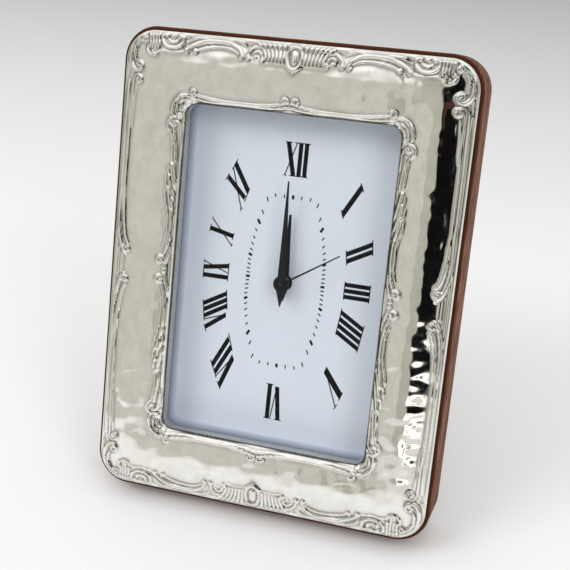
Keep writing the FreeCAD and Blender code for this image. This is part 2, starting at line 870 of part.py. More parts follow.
def make_front_case():
    """The front half of the case: end wall, side walls, battery bay wall and the posts for the plates."""
    y1 = case_front + case_split
    shell = rounded_slab(case_half, case_half, case_corner, case_front, y1, 0, centre_z)
    end = y1 + overrun
    upper = block(-inner_half, inner_half, case_inside, end, centre_z + wall_top, centre_z + inner_half)
    bay = block(-inner_half, inner_half, case_inside, end, centre_z + bay_low, centre_z + bay_top)
    shell = shell.cut(upper).cut(bay)
    plate_y = deep(middle_plate_offset)
    half = post_width / 2
    for x, z in plate_posts + board_posts:
        post = block(x - half, x + half, case_inside, plate_y, centre_z + z - half, centre_z + z + half)
        shell = shell.fuse(post)
    post_end = deep(minute_wheel_offset) + minute_wheel_thickness
    shell = shell.fuse(rod(minute_post_radius, case_inside, post_end, minute_at))
    shell = shell.cut(rod(bush_radius, case_front - overrun, case_inside + overrun))
    for at in (third_at, setting_at):
        shell = shell.cut(running_hole(pivot_radius, case_inside - pivot_hole_depth, case_inside, at))
    return shell


def make_rear_case():
    """The rear half: it closes the wheels in and leaves the battery bay open to the back."""
    y0 = case_front + case_split
    shell = rounded_slab(case_half, case_half, case_corner, y0, case_back, 0, centre_z)
    upper = block(-inner_half, inner_half, y0 - overrun, case_rear_inside, centre_z + wall_top,
                  centre_z + inner_half)
    bay = block(-inner_half, inner_half, y0 - overrun, case_back + overrun, centre_z + bay_low,
                centre_z + bay_top)
    shell = shell.cut(upper).cut(bay)
    hole_end = case_rear_inside + pivot_hole_depth
    for at in (centre_at, third_at, intermediate_at, rotor_at):
        shell = shell.cut(running_hole(pivot_radius, case_rear_inside, hole_end, at))
    y1 = case_back + overrun
    return shell.cut(running_hole(knob_shaft_radius, case_rear_inside - overrun, y1, setting_at))


def make_middle_plate():
    y0 = deep(middle_plate_offset)
    y1 = y0 + middle_plate_thickness
    right = coil_x - coil_flange_radius - wheel_clearance
    plate = block(-inner_half, right, y0, y1, centre_z + wall_top, centre_z + board_low - wheel_clearance)
    for at in (centre_at, third_at):
        plate = plate.cut(rod(2 * pivot_radius, y0 - overrun, y1 + overrun, at))
    for at in (intermediate_at, rotor_at):
        plate = plate.cut(running_hole(pivot_radius, y0 - overrun, y1 + overrun, at))
    return plate.cut(running_hole(knob_shaft_radius, y0 - overrun, y1 + overrun, setting_at))


def make_bush():
    y0 = case_inside - bush_length
    bush = rod(bush_radius, y0, case_inside)
    return bush.cut(running_hole(hour_pipe_radius, y0 - overrun, case_inside + overrun))


nut_back = dial_back + counterbore_depth - washer_thickness


def make_washer():
    return tube(washer_radius, bush_radius, nut_back, nut_back + washer_thickness)


def make_nut():
    corner = nut_flats / 2 / math.cos(math.radians(30))
    points = []
    for index in range(6):
        x, z = polar(corner, 60.0 * index)
        points.append((x, centre_z + z))
    nut = slab(points, nut_back - nut_thickness, nut_back)
    return nut.cut(rod(bush_radius, nut_back - nut_thickness - overrun, nut_back + overrun))


def arm_between(start, end, width, y0, y1):
    """A flat bar between two points, with straight sides."""
    dx = end[0] - start[0]
    dz = end[1] - start[1]
    length = math.hypot(dx, dz)
    side = (-dz / length * width / 2, dx / length * width / 2)
    outline = [add(start, side), add(end, side), (end[0] - side[0], end[1] - side[1]),
               (start[0] - side[0], start[1] - side[1])]
    return slab([(x, centre_z + z) for x, z in outline], y0, y1)


core_low = coil_low - core_overrun
core_high = coil_high + core_overrun


def make_stator():
    """The soft iron plate that carries the coil's field round the rotor."""
    y0 = deep(stator_offset)
    y1 = y0 + stator_thickness
    plate = rod(stator_ring_radius, y0, y1, rotor_at)
    for end_z in (core_low + core_width / 2, core_high - core_width / 2):
        elbow = (stator_elbow_x, end_z)
        plate = plate.fuse(arm_between(rotor_at, elbow, stator_arm_width, y0, y1))
        plate = plate.fuse(rod(stator_arm_width / 2, y0, y1, elbow))
        plate = plate.fuse(block(stator_elbow_x, coil_x + core_width / 2, y0, y1,
                                 centre_z + end_z - core_width / 2, centre_z + end_z + core_width / 2))
    return plate.removeSplitter().cut(rod(stator_hole_radius, y0 - overrun, y1 + overrun, rotor_at))


core_front = case_inside + stator_offset + stator_thickness
core_back = core_front + stator_thickness


def make_coil_core():
    return block(coil_x - core_width / 2, coil_x + core_width / 2, core_front, core_back,
                 centre_z + core_low, centre_z + core_high)


def coil_cylinder(radius, low, high):
    middle_y = (core_front + core_back) / 2
    return bar(radius, Vector(coil_x, middle_y, centre_z + low), Vector(0, 0, 1), high - low)


def make_bobbin():
    bobbin = coil_cylinder(coil_tube_radius, coil_low, coil_high)
    bobbin = bobbin.fuse(coil_cylinder(coil_flange_radius, coil_low - coil_flange, coil_low))
    bobbin = bobbin.fuse(coil_cylinder(coil_flange_radius, coil_high, coil_high + coil_flange))
    return bobbin.cut(make_coil_core())


def make_winding():
    return coil_cylinder(coil_radius, coil_low, coil_high).cut(
        coil_cylinder(coil_tube_radius, coil_low - overrun, coil_high + overrun))


board_front = case_inside + middle_plate_offset
board_back = board_front + board_thickness


def make_circuit_board():
    board = block(-inner_half + board_left_gap, board_right, board_front, board_back, centre_z + board_low,
                  centre_z + inner_half - board_high_gap)
    return board


def make_crystal():
    start = Vector(crystal_x, board_back + crystal_radius, centre_z + crystal_z)
    return bar(crystal_radius, start, Vector(1, 0, 0), crystal_length)


def make_chip():
    return rod(chip_radius, board_back, board_back + chip_height, (chip_x, chip_z))


cell_half = (cell_length + cell_nub_length) / 2


def contact(side, gap):
    """A sheet strip against the end wall of the bay, with a round bump towards the cell."""
    wall = side * inner_half
    face = side * (inner_half - contact_thickness)
    bump = side * (cell_half + gap)
    half = contact_width / 2
    z = centre_z + cell_z
    strip = block(min(wall, face), max(wall, face), cell_y - half, cell_y + half, z - half, z + half)
    start = Vector(min(face, bump), cell_y, centre_z + cell_z)
    dome = bar(contact_bump_radius, start, Vector(1, 0, 0), abs(face - bump))
    return strip.fuse(dome)


def make_cell():
    start = Vector(-cell_half, cell_y, centre_z + cell_z)
    body = bar(cell_radius, start, Vector(1, 0, 0), cell_length)
    nub_start = Vector(cell_half - cell_nub_length, cell_y, centre_z + cell_z)
    return body.fuse(bar(cell_nub_radius, nub_start, Vector(1, 0, 0), cell_nub_length))


# Hands

def turned(shape, degrees):
    """Turn a piece clockwise about the centre of the hands, as seen from the front."""
    moved = shape.copy()
    moved.rotate(Vector(0, 0, centre_z), Vector(0, 1, 0), degrees)
    return moved


def blade(length, y0, y1):
    """A hand that swells a little along its length and ends in a blunt point, with a short pointed tail."""
    widest = length * widest_share
    half = hand_width / 2
    root = half * hand_root_share
    outline = [(-root, 0), (-half, widest), (-hand_tip_width / 2, length), (hand_tip_width / 2, length),
               (half, widest), (root, 0)]
    tail = [(-tail_width / 2, 0), (tail_width / 2, 0), (tail_tip_width / 2, -hand_tail),
            (-tail_tip_width / 2, -hand_tail)]
    hand = slab([(x, centre_z + z) for x, z in outline], y0, y1)
    hand = hand.fuse(slab([(x, centre_z + z) for x, z in tail], y0, y1))
    return hand.fuse(rod(hub_radius, y0, y1)).removeSplitter()


def make_hand(length, front, arbor_radius, degrees):
    back = front + hand_sheet
    hand = blade(length, front, back)
    hand = turned(hand.fuse(rod(arbor_radius + collet_wall, back, back + collet_length)), degrees)
    return hand.cut(rod(arbor_radius, front - overrun, back + collet_length + overrun))


def make_hour_hand():
    return make_hand(hour_length, hour_pipe_front, hour_pipe_radius, hour_hand_degrees)


def make_minute_hand():
    return make_hand(minute_length, cannon_front, cannon_radius, minute_hand_degrees)


def make_second_hand():
    back = seconds_front + second_hand_sheet
    half = second_width / 2
    needle = block(-half, half, seconds_front, back, centre_z, centre_z + second_length)
    needle = needle.fuse(rod(second_hub_radius, seconds_front, back))
    needle = needle.fuse(rod(pivot_radius + collet_wall, back, back + second_collet_length))
    needle = turned(needle, second_hand_degrees)
    return needle.cut(rod(pivot_radius, seconds_front - overrun, back + second_collet_length + overrun))


# All pieces, by the name of their node

pieces = {
    "silver_front": make_silver_front(),
    "wood_frame": make_wood_frame(),
    "glass_pane": make_glass(),
    "spacer_frame": make_spacer(),
    "dial_plate": make_dial(),
    "backboard": make_backboard(),
    "packing_frame": make_packing(),
    "back_panel": make_back_panel(),
    "turn_button_screws": make_button_screws(),
    "hinge_fixed_leaf": make_fixed_leaf(),
    "hinge_moving_leaf": make_moving_leaf(),
    "hinge_pin": make_hinge_pin(),
    "hinge_panel_screws": make_panel_screws(),
    "hinge_leg_screws": make_leg_screws(),
    "strut_leg": make_leg(),
    "movement_front_case": make_front_case(),
    "movement_rear_case": make_rear_case(),
    "middle_plate": make_middle_plate(),
    "centre_bush": make_bush(),
    "fixing_washer": make_washer(),
    "fixing_nut": make_nut(),
    "hour_wheel": make_hour_wheel(),
    "cannon_pinion": make_cannon(),
    "minute_wheel": make_minute_wheel(),
    "setting_pinion": make_setting_pinion(),
    "setting_knob": make_setting_knob(),
    "centre_wheel": make_centre_wheel(),
    "third_wheel": make_third_wheel(),
    "seconds_wheel": make_seconds_wheel(),
    "seconds_arbor": make_seconds_arbor(),
    "intermediate_wheel": make_intermediate_wheel(),
    "rotor_pinion": make_rotor_pinion(),
    "rotor_magnet": make_rotor_magnet(),
    "stator_plate": make_stator(),
    "coil_core": make_coil_core(),
    "coil_bobbin": make_bobbin(),
    "coil_winding": make_winding(),
    "circuit_board": make_circuit_board(),
    "quartz_crystal": make_crystal(),
    "timing_chip": make_chip(),
    "contact_minus": contact(-1, contact_gap),
    "contact_plus": contact(1, contact_gap),
    "battery_cell": make_cell(),
    "hour_hand": make_hour_hand(),
    "minute_hand": make_minute_hand(),
    "second_hand": make_second_hand(),
}
for name, (x, z) in button_places.items():
    pieces["turn_button_" + name] = make_turn_button(x, z)

placed = {name: leaned(shape) for name, shape in pieces.items()}

# The wooden frame and the leg are trimmed level with the table
corner = Vector(-wood_width, -2 * table_slab, -table_slab)
table = Part.makeBox(2 * wood_width, 4 * table_slab, table_slab, corner)
for name in ("wood_frame", "strut_leg"):
    placed[name] = placed[name].cut(table)

# The origin is the middle of the clock's footprint box
box = Part.makeCompound(list(placed.values())).BoundBox
shift = Vector(0, -(box.YMin + box.YMax) / 2, 0)
for name, shape in placed.items():
    shape.translate(shift)
    shape.exportStep("parts/" + name + ".step")


def on_table(x, y, z):
    """A point of the upright clock where it stands on the table."""
    turned_y = y * math.cos(lean) + z * math.sin(lean)
    turned_z = z * math.cos(lean) - y * math.sin(lean)
    return (x, turned_y + shift.y, turned_z + rise)


# Joint places for the record
print("clock box", [round(size, 3) for size in (box.XLength, box.YLength, box.ZLength)])
print("arbor direction", (0, round(math.cos(lean), 6), round(-math.sin(lean), 6)))
for name, at in (("centre", centre_at), ("minute", minute_at), ("setting", setting_at), ("third", third_at),
                 ("intermediate", intermediate_at), ("rotor", rotor_at)):
    print("arbor", name, [round(value, 4) for value in on_table(at[0], case_front, centre_z + at[1])])
print("pin", [round(value, 4) for value in on_table(0, pin_y, pin_height)])
for name, (x, z) in button_places.items():
    print("button", name, [round(value, 4) for value in on_table(x, button_back, z)])
sole_y = wood_depth - foot_depth / 2
sole_z = (sole_y * math.sin(lean) - rise) / math.cos(lean)
print("sole", [round(value, 4) for value in on_table(0, sole_y, sole_z)])
print("glass centre", [round(value, 4) for value in on_table(0, glass_front, 0)])
for name, shape in placed.items():
    parts = shape.Solids
    print(name, "solids", len(parts), "volume", round(shape.Volume, 2), "valid", shape.isValid())
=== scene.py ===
# %% [markdown]
# # A photo frame clock in pressed silver
#
# A small table clock built like a picture frame. A thin silver sheet, pressed with scroll borders, is laid
# over a dark mahogany frame. Behind the glass stands a tall white dial with printed Roman numerals and
# three black hands. The whole leans back on an easel strut, and a quartz movement sits in the back panel.
#
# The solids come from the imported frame. This script gives them their finish, and builds in fine mesh what
# the solids only hint at: the relief of the silver, the rounded wood, the print, the hands and the fittings
# behind.

import json
import math

import bmesh
import bpy
import numpy as np
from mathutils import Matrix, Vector


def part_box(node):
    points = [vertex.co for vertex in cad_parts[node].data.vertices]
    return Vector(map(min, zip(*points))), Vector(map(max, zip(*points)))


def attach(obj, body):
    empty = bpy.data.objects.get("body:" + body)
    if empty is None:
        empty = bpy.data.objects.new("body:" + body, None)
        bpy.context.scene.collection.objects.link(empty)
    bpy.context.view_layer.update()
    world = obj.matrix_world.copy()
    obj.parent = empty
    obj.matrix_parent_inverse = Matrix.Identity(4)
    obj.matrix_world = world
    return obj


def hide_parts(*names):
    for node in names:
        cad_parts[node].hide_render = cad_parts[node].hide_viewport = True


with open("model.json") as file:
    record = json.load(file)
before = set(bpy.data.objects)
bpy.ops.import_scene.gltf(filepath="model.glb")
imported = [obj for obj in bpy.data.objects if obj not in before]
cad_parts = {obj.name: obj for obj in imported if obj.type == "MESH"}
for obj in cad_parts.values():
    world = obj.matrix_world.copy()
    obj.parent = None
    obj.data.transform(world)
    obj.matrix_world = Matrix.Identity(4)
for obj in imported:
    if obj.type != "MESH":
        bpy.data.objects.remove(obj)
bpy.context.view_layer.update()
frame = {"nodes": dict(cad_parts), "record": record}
scene = bpy.context.scene
MM = 0.001

# %% [markdown]
# ## Drawing upright, standing leaned
#
# The real frame is easiest to describe upright: x across, y from the front to the back, z up, in
# millimetres, with y = 0 on the ledge where the silver's edge rests. The clock then leans back by 18.1
# degrees. The middle of the glass pane is known in both, so it ties the two together: a point p goes to R p
# + origin, where R is the turn about x and the origin is the glass centre less its own turned place.

# %% From upright millimetres to the frame
LEAN = math.radians(18.1)
GLASS_MIDDLE = 5.0  # depth of the middle of the pane
glass_low, glass_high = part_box("glass_pane")
ACROSS = np.array([1.0, 0.0, 0.0])
INWARD = np.array([0.0, math.cos(LEAN), -math.sin(LEAN)])
UPWARD = np.array([0.0, math.sin(LEAN), math.cos(LEAN)])
ORIGIN = np.array((glass_low + glass_high) / 2) - GLASS_MIDDLE * MM * INWARD


def stand(points):
    """Upright points (..., 3) in mm, placed in the frame in metres."""
    p = np.asarray(points, float) * MM
    return p[..., :1] * ACROSS + p[..., 1:2] * INWARD + p[..., 2:3] * UPWARD + ORIGIN


print("origin", np.round(ORIGIN, 5))

# %% [markdown]
# ## From points to objects
#
# Every new piece is a grid of points that numpy works out, joined by faces to its neighbours. Four helpers
# are enough: one numbers the faces of a grid, one makes the object and ties it to the body that it moves
# with, one turns the faces outwards, and one breaks the edges, because no real edge is perfectly sharp.

# %% Faces of a grid


def grid_quads(rows, columns, wrap_rows=False, wrap_columns=False):
    """Quads between the neighbours of a grid of rows x columns points, numbered all at once."""
    r = np.arange(rows if wrap_rows else rows - 1)[:, None]
    c = np.arange(columns if wrap_columns else columns - 1)[None, :]
    below, beside = (r + 1) % rows, (c + 1) % columns
    corners = [r * columns + c, r * columns + beside, below * columns + beside, below * columns + c]
    return np.stack([np.broadcast_to(k, (r.size, c.size)) for k in corners], -1).reshape(-1, 4)


print("a closed grid of 3 x 4 points has", len(grid_quads(3, 4, True, True)), "quads")

# %% Objects, outward faces and broken edges
SHARP = 35  # degrees between two faces from which the edge between them counts as sharp


def add_mesh(name, points, faces, material, body, smooth=True, replaces=()):
    """A mesh object from points in metres, which rides on a body; faces is an array of quads or a list."""
    mesh = bpy.data.meshes.new(name)
    corners = np.asarray(points).reshape(-1, 3).tolist()
    mesh.from_pydata(corners, [], [tuple(f) for f in np.asarray(faces, object)])
    mesh.validate()
    mesh.materials.append(material)
    mesh.polygons.foreach_set("use_smooth", [smooth] * len(mesh.polygons))
    obj = bpy.data.objects.new(name, mesh)
    scene.collection.objects.link(obj)
    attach(obj, body)
    if replaces:
        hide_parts(*replaces)
    return obj


def mark_points(obj, name, values):
    """A point attribute with a value from 0 to 1 for each point, which a material can read."""
    mark = obj.data.attributes.new(name, "FLOAT", "POINT")
    mark.data.foreach_set("value", values.ravel().astype(np.float32))


def outward(obj):
    """Make all faces of a closed mesh look outwards."""
    work = bmesh.new()
    work.from_mesh(obj.data)
    bmesh.ops.recalc_face_normals(work, faces=work.faces)
    work.to_mesh(obj.data)
    work.free()
    return obj


def rounded(obj, width, segments=2):
    """Break the sharp edges with a small round, in mm, and keep the flats flat."""
    bevel = obj.modifiers.new("edges", "BEVEL")
    bevel.width = width * MM
    bevel.segments = segments
    bevel.limit_method = "ANGLE"
    bevel.angle_limit = math.radians(SHARP)
    bevel.harden_normals = True
    return obj


print("edges sharper than", SHARP, "degrees can be broken")

# %% Turned shapes
RIB_FALL = 12  # the power of r / r_max with which ribs die away from the rim


def lathe(profile, at, axis, turns=48, ribs=0, rib_depth=0.0):
    """Points (radius, along) in mm turned about an axis through a point of the frame, with flat ends. Ring k
    stands at at + along_k * axis. With ribs the radius is r - depth (r / r_max)^12 (1 - cos(ribs a)) / 2."""
    profile = np.array(profile, float) * MM
    axis = np.array(axis) / np.linalg.norm(axis)
    side = np.cross(axis, ACROSS if abs(axis[0]) < 0.9 else UPWARD)
    side /= np.linalg.norm(side)
    other = np.cross(axis, side)
    angle = np.linspace(0, 2 * math.pi, turns, endpoint=False)
    circle = np.cos(angle)[:, None] * side + np.sin(angle)[:, None] * other
    near_rim = (profile[:, :1] / profile[:, 0].max()) ** RIB_FALL
    radius = profile[:, :1] - rib_depth * MM * near_rim * (1 - np.cos(ribs * angle)) / 2
    rings = radius[..., None] * circle + profile[:, None, 1:] * axis + np.array(at)
    faces = [tuple(q) for q in grid_quads(len(profile), turns, wrap_columns=True)]
    last = (len(profile) - 1) * turns
    faces.append(tuple(range(turns)))
    faces.append(tuple(range(last, last + turns)))
    return rings.reshape(-1, 3), faces


print("a turned cylinder has", len(lathe([(1, 0), (1, 1)], ORIGIN, INWARD)[1]), "faces")

# %% [markdown]
# ## Effects that several finishes share
#
# Every finish is a small node tree on the object's own coordinates. Three effects come back in several of
# them, so they are node groups, built once and placed in each material with its own values: a fine
# unevenness, the grain of wood, and the thin scratches of handled metal.

# %% Node helpers


def new_group(name, inputs, outputs):
    """A node group with its named sockets, and its two end nodes."""
    group = bpy.data.node_groups.new(name, "ShaderNodeTree")
    for label, kind, value in inputs:
        socket = group.interface.new_socket(label, in_out="INPUT", socket_type=kind)
        socket.default_value = value
    for label, kind in outputs:
        group.interface.new_socket(label, in_out="OUTPUT", socket_type=kind)
    return group, group.nodes.new("NodeGroupInput"), group.nodes.new("NodeGroupOutput")


def node(tree, kind, **values):
    """A node with its properties set; a value for an input socket is given as in_NAME or in_NUMBER."""
    made = tree.nodes.new(kind)
    for key, value in values.items():
        if key.startswith("in_"):
            label = key[3:].replace("_", " ")
            made.inputs[int(label) if label.isdigit() else label].default_value = value
        else:
            setattr(made, key, value)
    return made


def link(tree, out, target):
    """A link from an output socket to an input socket."""
    tree.links.new(out, target)


print("node groups so far", len(bpy.data.node_groups))

# %% Unevenness
FINE = 0.0001  # height in metres of the finest bumps


def make_unevenness():
    """Soft bumps of a chosen size: the Normal of a finish, and a value from 0 to 1 for its roughness."""
    group, enter, leave = new_group("unevenness", [("Scale", "NodeSocketFloat", 200.0),
                                                   ("Strength", "NodeSocketFloat", 0.1),
                                                   ("Depth", "NodeSocketFloat", FINE)],
                                    [("Normal", "NodeSocketVector"), ("Value", "NodeSocketFloat")])
    place = node(group, "ShaderNodeTexCoord")
    noise = node(group, "ShaderNodeTexNoise", in_Detail=4.0, in_Roughness=0.55)
    bump = node(group, "ShaderNodeBump")
    link(group, place.outputs["Object"], noise.inputs["Vector"])
    link(group, enter.outputs["Scale"], noise.inputs["Scale"])
    link(group, noise.outputs["Fac"], bump.inputs["Height"])
    link(group, enter.outputs["Strength"], bump.inputs["Strength"])
    link(group, enter.outputs["Depth"], bump.inputs["Distance"])
    link(group, bump.outputs["Normal"], leave.inputs["Normal"])
    link(group, noise.outputs["Fac"], leave.inputs["Value"])
    return group


UNEVENNESS = make_unevenness()
print("effect", UNEVENNESS.name)

# %% Grain
ALONG_FIGURE, ALONG_PORES = 0.12, 0.05  # how much figure and pores are drawn out along the grain
PORES_PER_FIGURE = 11.0  # how much finer the pores are than the figure


def make_grain():
    """Wood grain that runs along the third coordinate: a mask from 0 to 1 of its figure times its pores,
    and a Normal that sinks the pores."""
    group, enter, leave = new_group("grain", [("Vector", "NodeSocketVector", (0.0, 0.0, 0.0)),
                                              ("Scale", "NodeSocketFloat", 60.0)],
                                    [("Mask", "NodeSocketFloat"), ("Normal", "NodeSocketVector")])
    long_figure = node(group, "ShaderNodeMapping", in_Scale=(1.0, 1.0, ALONG_FIGURE))
    long_pores = node(group, "ShaderNodeMapping", in_Scale=(1.0, 1.0, ALONG_PORES))
    figure = node(group, "ShaderNodeTexNoise", in_Detail=5.0, in_Roughness=0.55, in_Distortion=0.8)
    pores = node(group, "ShaderNodeTexNoise", in_Detail=2.0, in_Roughness=0.5)
    finer = node(group, "ShaderNodeMath", operation="MULTIPLY", in_1=PORES_PER_FIGURE)
    open_pores = node(group, "ShaderNodeMapRange", in_From_Min=0.44, in_From_Max=0.56)
    soft = node(group, "ShaderNodeMapRange", in_From_Min=0.38, in_From_Max=0.60, in_To_Min=0.15,
                in_To_Max=1.0)
    both = node(group, "ShaderNodeMath", operation="MULTIPLY")
    bump = node(group, "ShaderNodeBump", in_Strength=0.3, in_Distance=FINE)
    for way, noise in ((long_figure, figure), (long_pores, pores)):
        link(group, enter.outputs["Vector"], way.inputs["Vector"])
        link(group, way.outputs["Vector"], noise.inputs["Vector"])
    link(group, enter.outputs["Scale"], figure.inputs["Scale"])
    link(group, enter.outputs["Scale"], finer.inputs[0])
    link(group, finer.outputs["Value"], pores.inputs["Scale"])
    link(group, pores.outputs["Fac"], open_pores.inputs["Value"])
    link(group, figure.outputs["Fac"], soft.inputs["Value"])
    link(group, open_pores.outputs["Result"], both.inputs[0])
    link(group, soft.outputs["Result"], both.inputs[1])
    link(group, both.outputs["Value"], leave.inputs["Mask"])
    link(group, open_pores.outputs["Result"], bump.inputs["Height"])
    link(group, bump.outputs["Normal"], leave.inputs["Normal"])
    return group


GRAIN = make_grain()
print("effect", GRAIN.name)

# %% Scratches
HAIRLINE = 0.06  # how much a speck is drawn out into a line
HAIRLINE_TURNS = (0.4, 1.9)  # the two directions of the lines, in radians


def make_scratches():
    """Fine hairlines in two directions: a value from 0 to 1 that roughens a bright metal."""
    group, enter, leave = new_group("scratches", [("Scale", "NodeSocketFloat", 300.0)],
                                    [("Value", "NodeSocketFloat")])
    place = node(group, "ShaderNodeTexCoord")
    found = []
    for turn in HAIRLINE_TURNS:
        squeeze = node(group, "ShaderNodeMapping", in_Rotation=(turn, turn, turn),
                       in_Scale=(1.0, HAIRLINE, 1.0))
        noise = node(group, "ShaderNodeTexNoise", in_Detail=2.0)
        link(group, place.outputs["Object"], squeeze.inputs["Vector"])
        link(group, squeeze.outputs["Vector"], noise.inputs["Vector"])
        link(group, enter.outputs["Scale"], noise.inputs["Scale"])
        found.append(noise.outputs["Fac"])
    most = node(group, "ShaderNodeMath", operation="MAXIMUM")
    link(group, found[0], most.inputs[0])
    link(group, found[1], most.inputs[1])
    link(group, most.outputs["Value"], leave.inputs["Value"])
    return group


SCRATCHES = make_scratches()
print("effect", SCRATCHES.name)

# %% [markdown]
# ## Plain finishes
#
# Paint, plastic, card and printing ink are one colour with a soft sheen. What gives them away as real is
# that the sheen is never the same twice, so the roughness wanders a little with the unevenness.

# %% Plain finishes and mixes


def new_material(name, color, roughness, metallic=0.0, **inputs):
    """A material with its plain values, its node tree and its shader."""
    made = bpy.data.materials.new(name)
    made.use_nodes = True
    made.diffuse_color = (*color, 1)
    shader = made.node_tree.nodes["Principled BSDF"]
    shader.inputs["Base Color"].default_value = (*color, 1)
    shader.inputs["Roughness"].default_value = roughness
    shader.inputs["Metallic"].default_value = metallic
    for label, value in inputs.items():
        shader.inputs[label.replace("_", " ")].default_value = value
    return made, made.node_tree, shader


def plain(name, color, roughness, scale=400.0, strength=0.15, spread=0.15, **inputs):
    """A finish with slight unevenness, whose roughness wanders by a spread about its middle."""
    made, tree, shader = new_material(name, color, roughness, 0.0, **inputs)
    uneven = node(tree, "ShaderNodeGroup", node_tree=UNEVENNESS, in_Scale=scale, in_Strength=strength,
                  in_Depth=FINE)
    wander = node(tree, "ShaderNodeMapRange", in_From_Min=0.3, in_From_Max=0.7,
                  in_To_Min=max(roughness - spread / 2, 0.02), in_To_Max=min(roughness + spread / 2, 1.0))
    link(tree, uneven.outputs["Value"], wander.inputs["Value"])
    link(tree, wander.outputs["Result"], shader.inputs["Roughness"])
    link(tree, uneven.outputs["Normal"], shader.inputs["Normal"])
    return made


def two_tone(tree, fac, low, high, target):
    """A mix of two colours, low (1 - f) + high f, linked to a socket."""
    mix = node(tree, "ShaderNodeMix", data_type="RGBA")
    mix.inputs["A"].default_value = (*low, 1)
    mix.inputs["B"].default_value = (*high, 1)
    link(tree, fac, mix.inputs["Factor"])
    link(tree, mix.outputs["Result"], target)
    return mix.outputs["Result"]


def tint(tree, fac, source, color, target):
    """A colour that takes over from another one, source (1 - f) + color f, linked to a socket."""
    mix = node(tree, "ShaderNodeMix", data_type="RGBA")
    mix.inputs["B"].default_value = (*color, 1)
    link(tree, fac, mix.inputs["Factor"])
    link(tree, source, mix.inputs["A"])
    link(tree, mix.outputs["Result"], target)


FINISH = {
    "dial_white": plain("dial_white", (0.715, 0.77, 0.855), 0.5, 2500.0, 0.05, 0.1),
    "print_ink": plain("print_ink", (0.004, 0.004, 0.006), 0.7, 2500.0, 0.1, Specular_IOR_Level=0.1),
    "black_hand": plain("black_hand", (0.007, 0.007, 0.009), 0.5, 900.0, 0.08, Specular_IOR_Level=0.2),
    "fibreboard": plain("fibreboard", (0.20, 0.12, 0.06), 0.85, 900.0, 0.4),
    "black_case": plain("black_case", (0.014, 0.014, 0.015), 0.5, 1600.0, 0.35),
    "white_gear": plain("white_gear", (0.72, 0.72, 0.66), 0.4, 700.0, Subsurface_Weight=0.05),
    "black_knob": plain("black_knob", (0.02, 0.02, 0.021), 0.42, 1200.0, 0.2),
    "circuit_green": plain("circuit_green", (0.01, 0.09, 0.03), 0.3, 500.0),
    "chip_black": plain("chip_black", (0.008, 0.008, 0.008), 0.4, 1200.0),
    "ferrite": plain("ferrite", (0.02, 0.02, 0.022), 0.55, 900.0, 0.3),
}
print("plain finishes", sorted(FINISH))

# %% [markdown]
# ## Wood
#
# Mahogany has long fine pores and a broad soft figure, both drawn out along the plank. The frame is four
# such planks that meet at mitres, so the grain has to turn at each corner: the coordinates are swapped
# there. The front edge beside the silver is darkened by painted shade, for the shade by the silver's edge,
# which a point attribute of the moulding marks. The plain boards behind use the same grain in other colours.

# %% Coordinates for the grain
WOOD_HALF = (77.8, 103.8)  # half the width and half the height of the wooden frame


def upright_place(tree, lean=LEAN):
    """The socket of upright coordinates in metres: Object coordinates less the origin, turned back by the
    lean."""
    place = node(tree, "ShaderNodeTexCoord")
    centre = node(tree, "ShaderNodeMapping", in_Location=tuple(-ORIGIN))
    upright = node(tree, "ShaderNodeMapping", in_Rotation=(lean, 0.0, 0.0))
    link(tree, place.outputs["Object"], centre.inputs["Vector"])
    link(tree, centre.outputs["Vector"], upright.inputs["Vector"])
    return upright.outputs["Vector"]


def mitred(tree, upright):
    """Coordinates whose third one runs along each side of the frame and changes over at the mitres, where
    |x| - |z| equals the difference of the frame's halves."""
    split = node(tree, "ShaderNodeSeparateXYZ")
    beside = node(tree, "ShaderNodeMath", operation="ABSOLUTE")
    over = node(tree, "ShaderNodeMath", operation="ABSOLUTE")
    more = node(tree, "ShaderNodeMath", operation="SUBTRACT")
    is_side = node(tree, "ShaderNodeMath", operation="GREATER_THAN", in_1=(WOOD_HALF[0] - WOOD_HALF[1]) * MM)
    turned = node(tree, "ShaderNodeCombineXYZ")
    mix = node(tree, "ShaderNodeMix", data_type="VECTOR")
    link(tree, upright, split.inputs["Vector"])
    link(tree, split.outputs["X"], beside.inputs[0])
    link(tree, split.outputs["Z"], over.inputs[0])
    link(tree, beside.outputs["Value"], more.inputs[0])
    link(tree, over.outputs["Value"], more.inputs[1])
    link(tree, more.outputs["Value"], is_side.inputs[0])
    for source, target in (("Z", "X"), ("Y", "Y"), ("X", "Z")):
        link(tree, split.outputs[source], turned.inputs[target])
    link(tree, is_side.outputs["Value"], mix.inputs["Factor"])
    link(tree, turned.outputs["Vector"], mix.inputs["A"])
    link(tree, upright, mix.inputs["B"])
    return mix.outputs["Result"]


print("mitres start", WOOD_HALF, "mm from the middle")

# %% Woods
# painted shade: the dark brown laid on the wood's front edge beside the silver
EDGE_PAINTED_SHADE = (0.055, 0.019, 0.010)
DARK_BOARD = ((0.010, 0.006, 0.004), (0.040, 0.023, 0.016))


def wood(name, tones, roughness, scale, lean=LEAN, painted_edge_shade=None):
    """A wood whose grain runs up a piece that leans back, between its dark and its light tone. With an
    attribute for painted edge shade, which is 1 where painted shade darkens the edge, its grain turns at the
    mitres."""
    dark, light = tones
    made, tree, shader = new_material(name, light, roughness, Specular_IOR_Level=0.02)
    upright = upright_place(tree, lean)
    grain = node(tree, "ShaderNodeGroup", node_tree=GRAIN, in_Scale=scale)
    link(tree, mitred(tree, upright) if painted_edge_shade else upright, grain.inputs["Vector"])
    color = two_tone(tree, grain.outputs["Mask"], dark, light, shader.inputs["Base Color"])
    if painted_edge_shade:
        # painted shade: the front edge is coloured dark brown where the attribute is 1
        edge_shading = node(tree, "ShaderNodeAttribute", attribute_name=painted_edge_shade)
        tint(tree, edge_shading.outputs["Fac"], color, EDGE_PAINTED_SHADE, shader.inputs["Base Color"])
    link(tree, grain.outputs["Normal"], shader.inputs["Normal"])
    return made


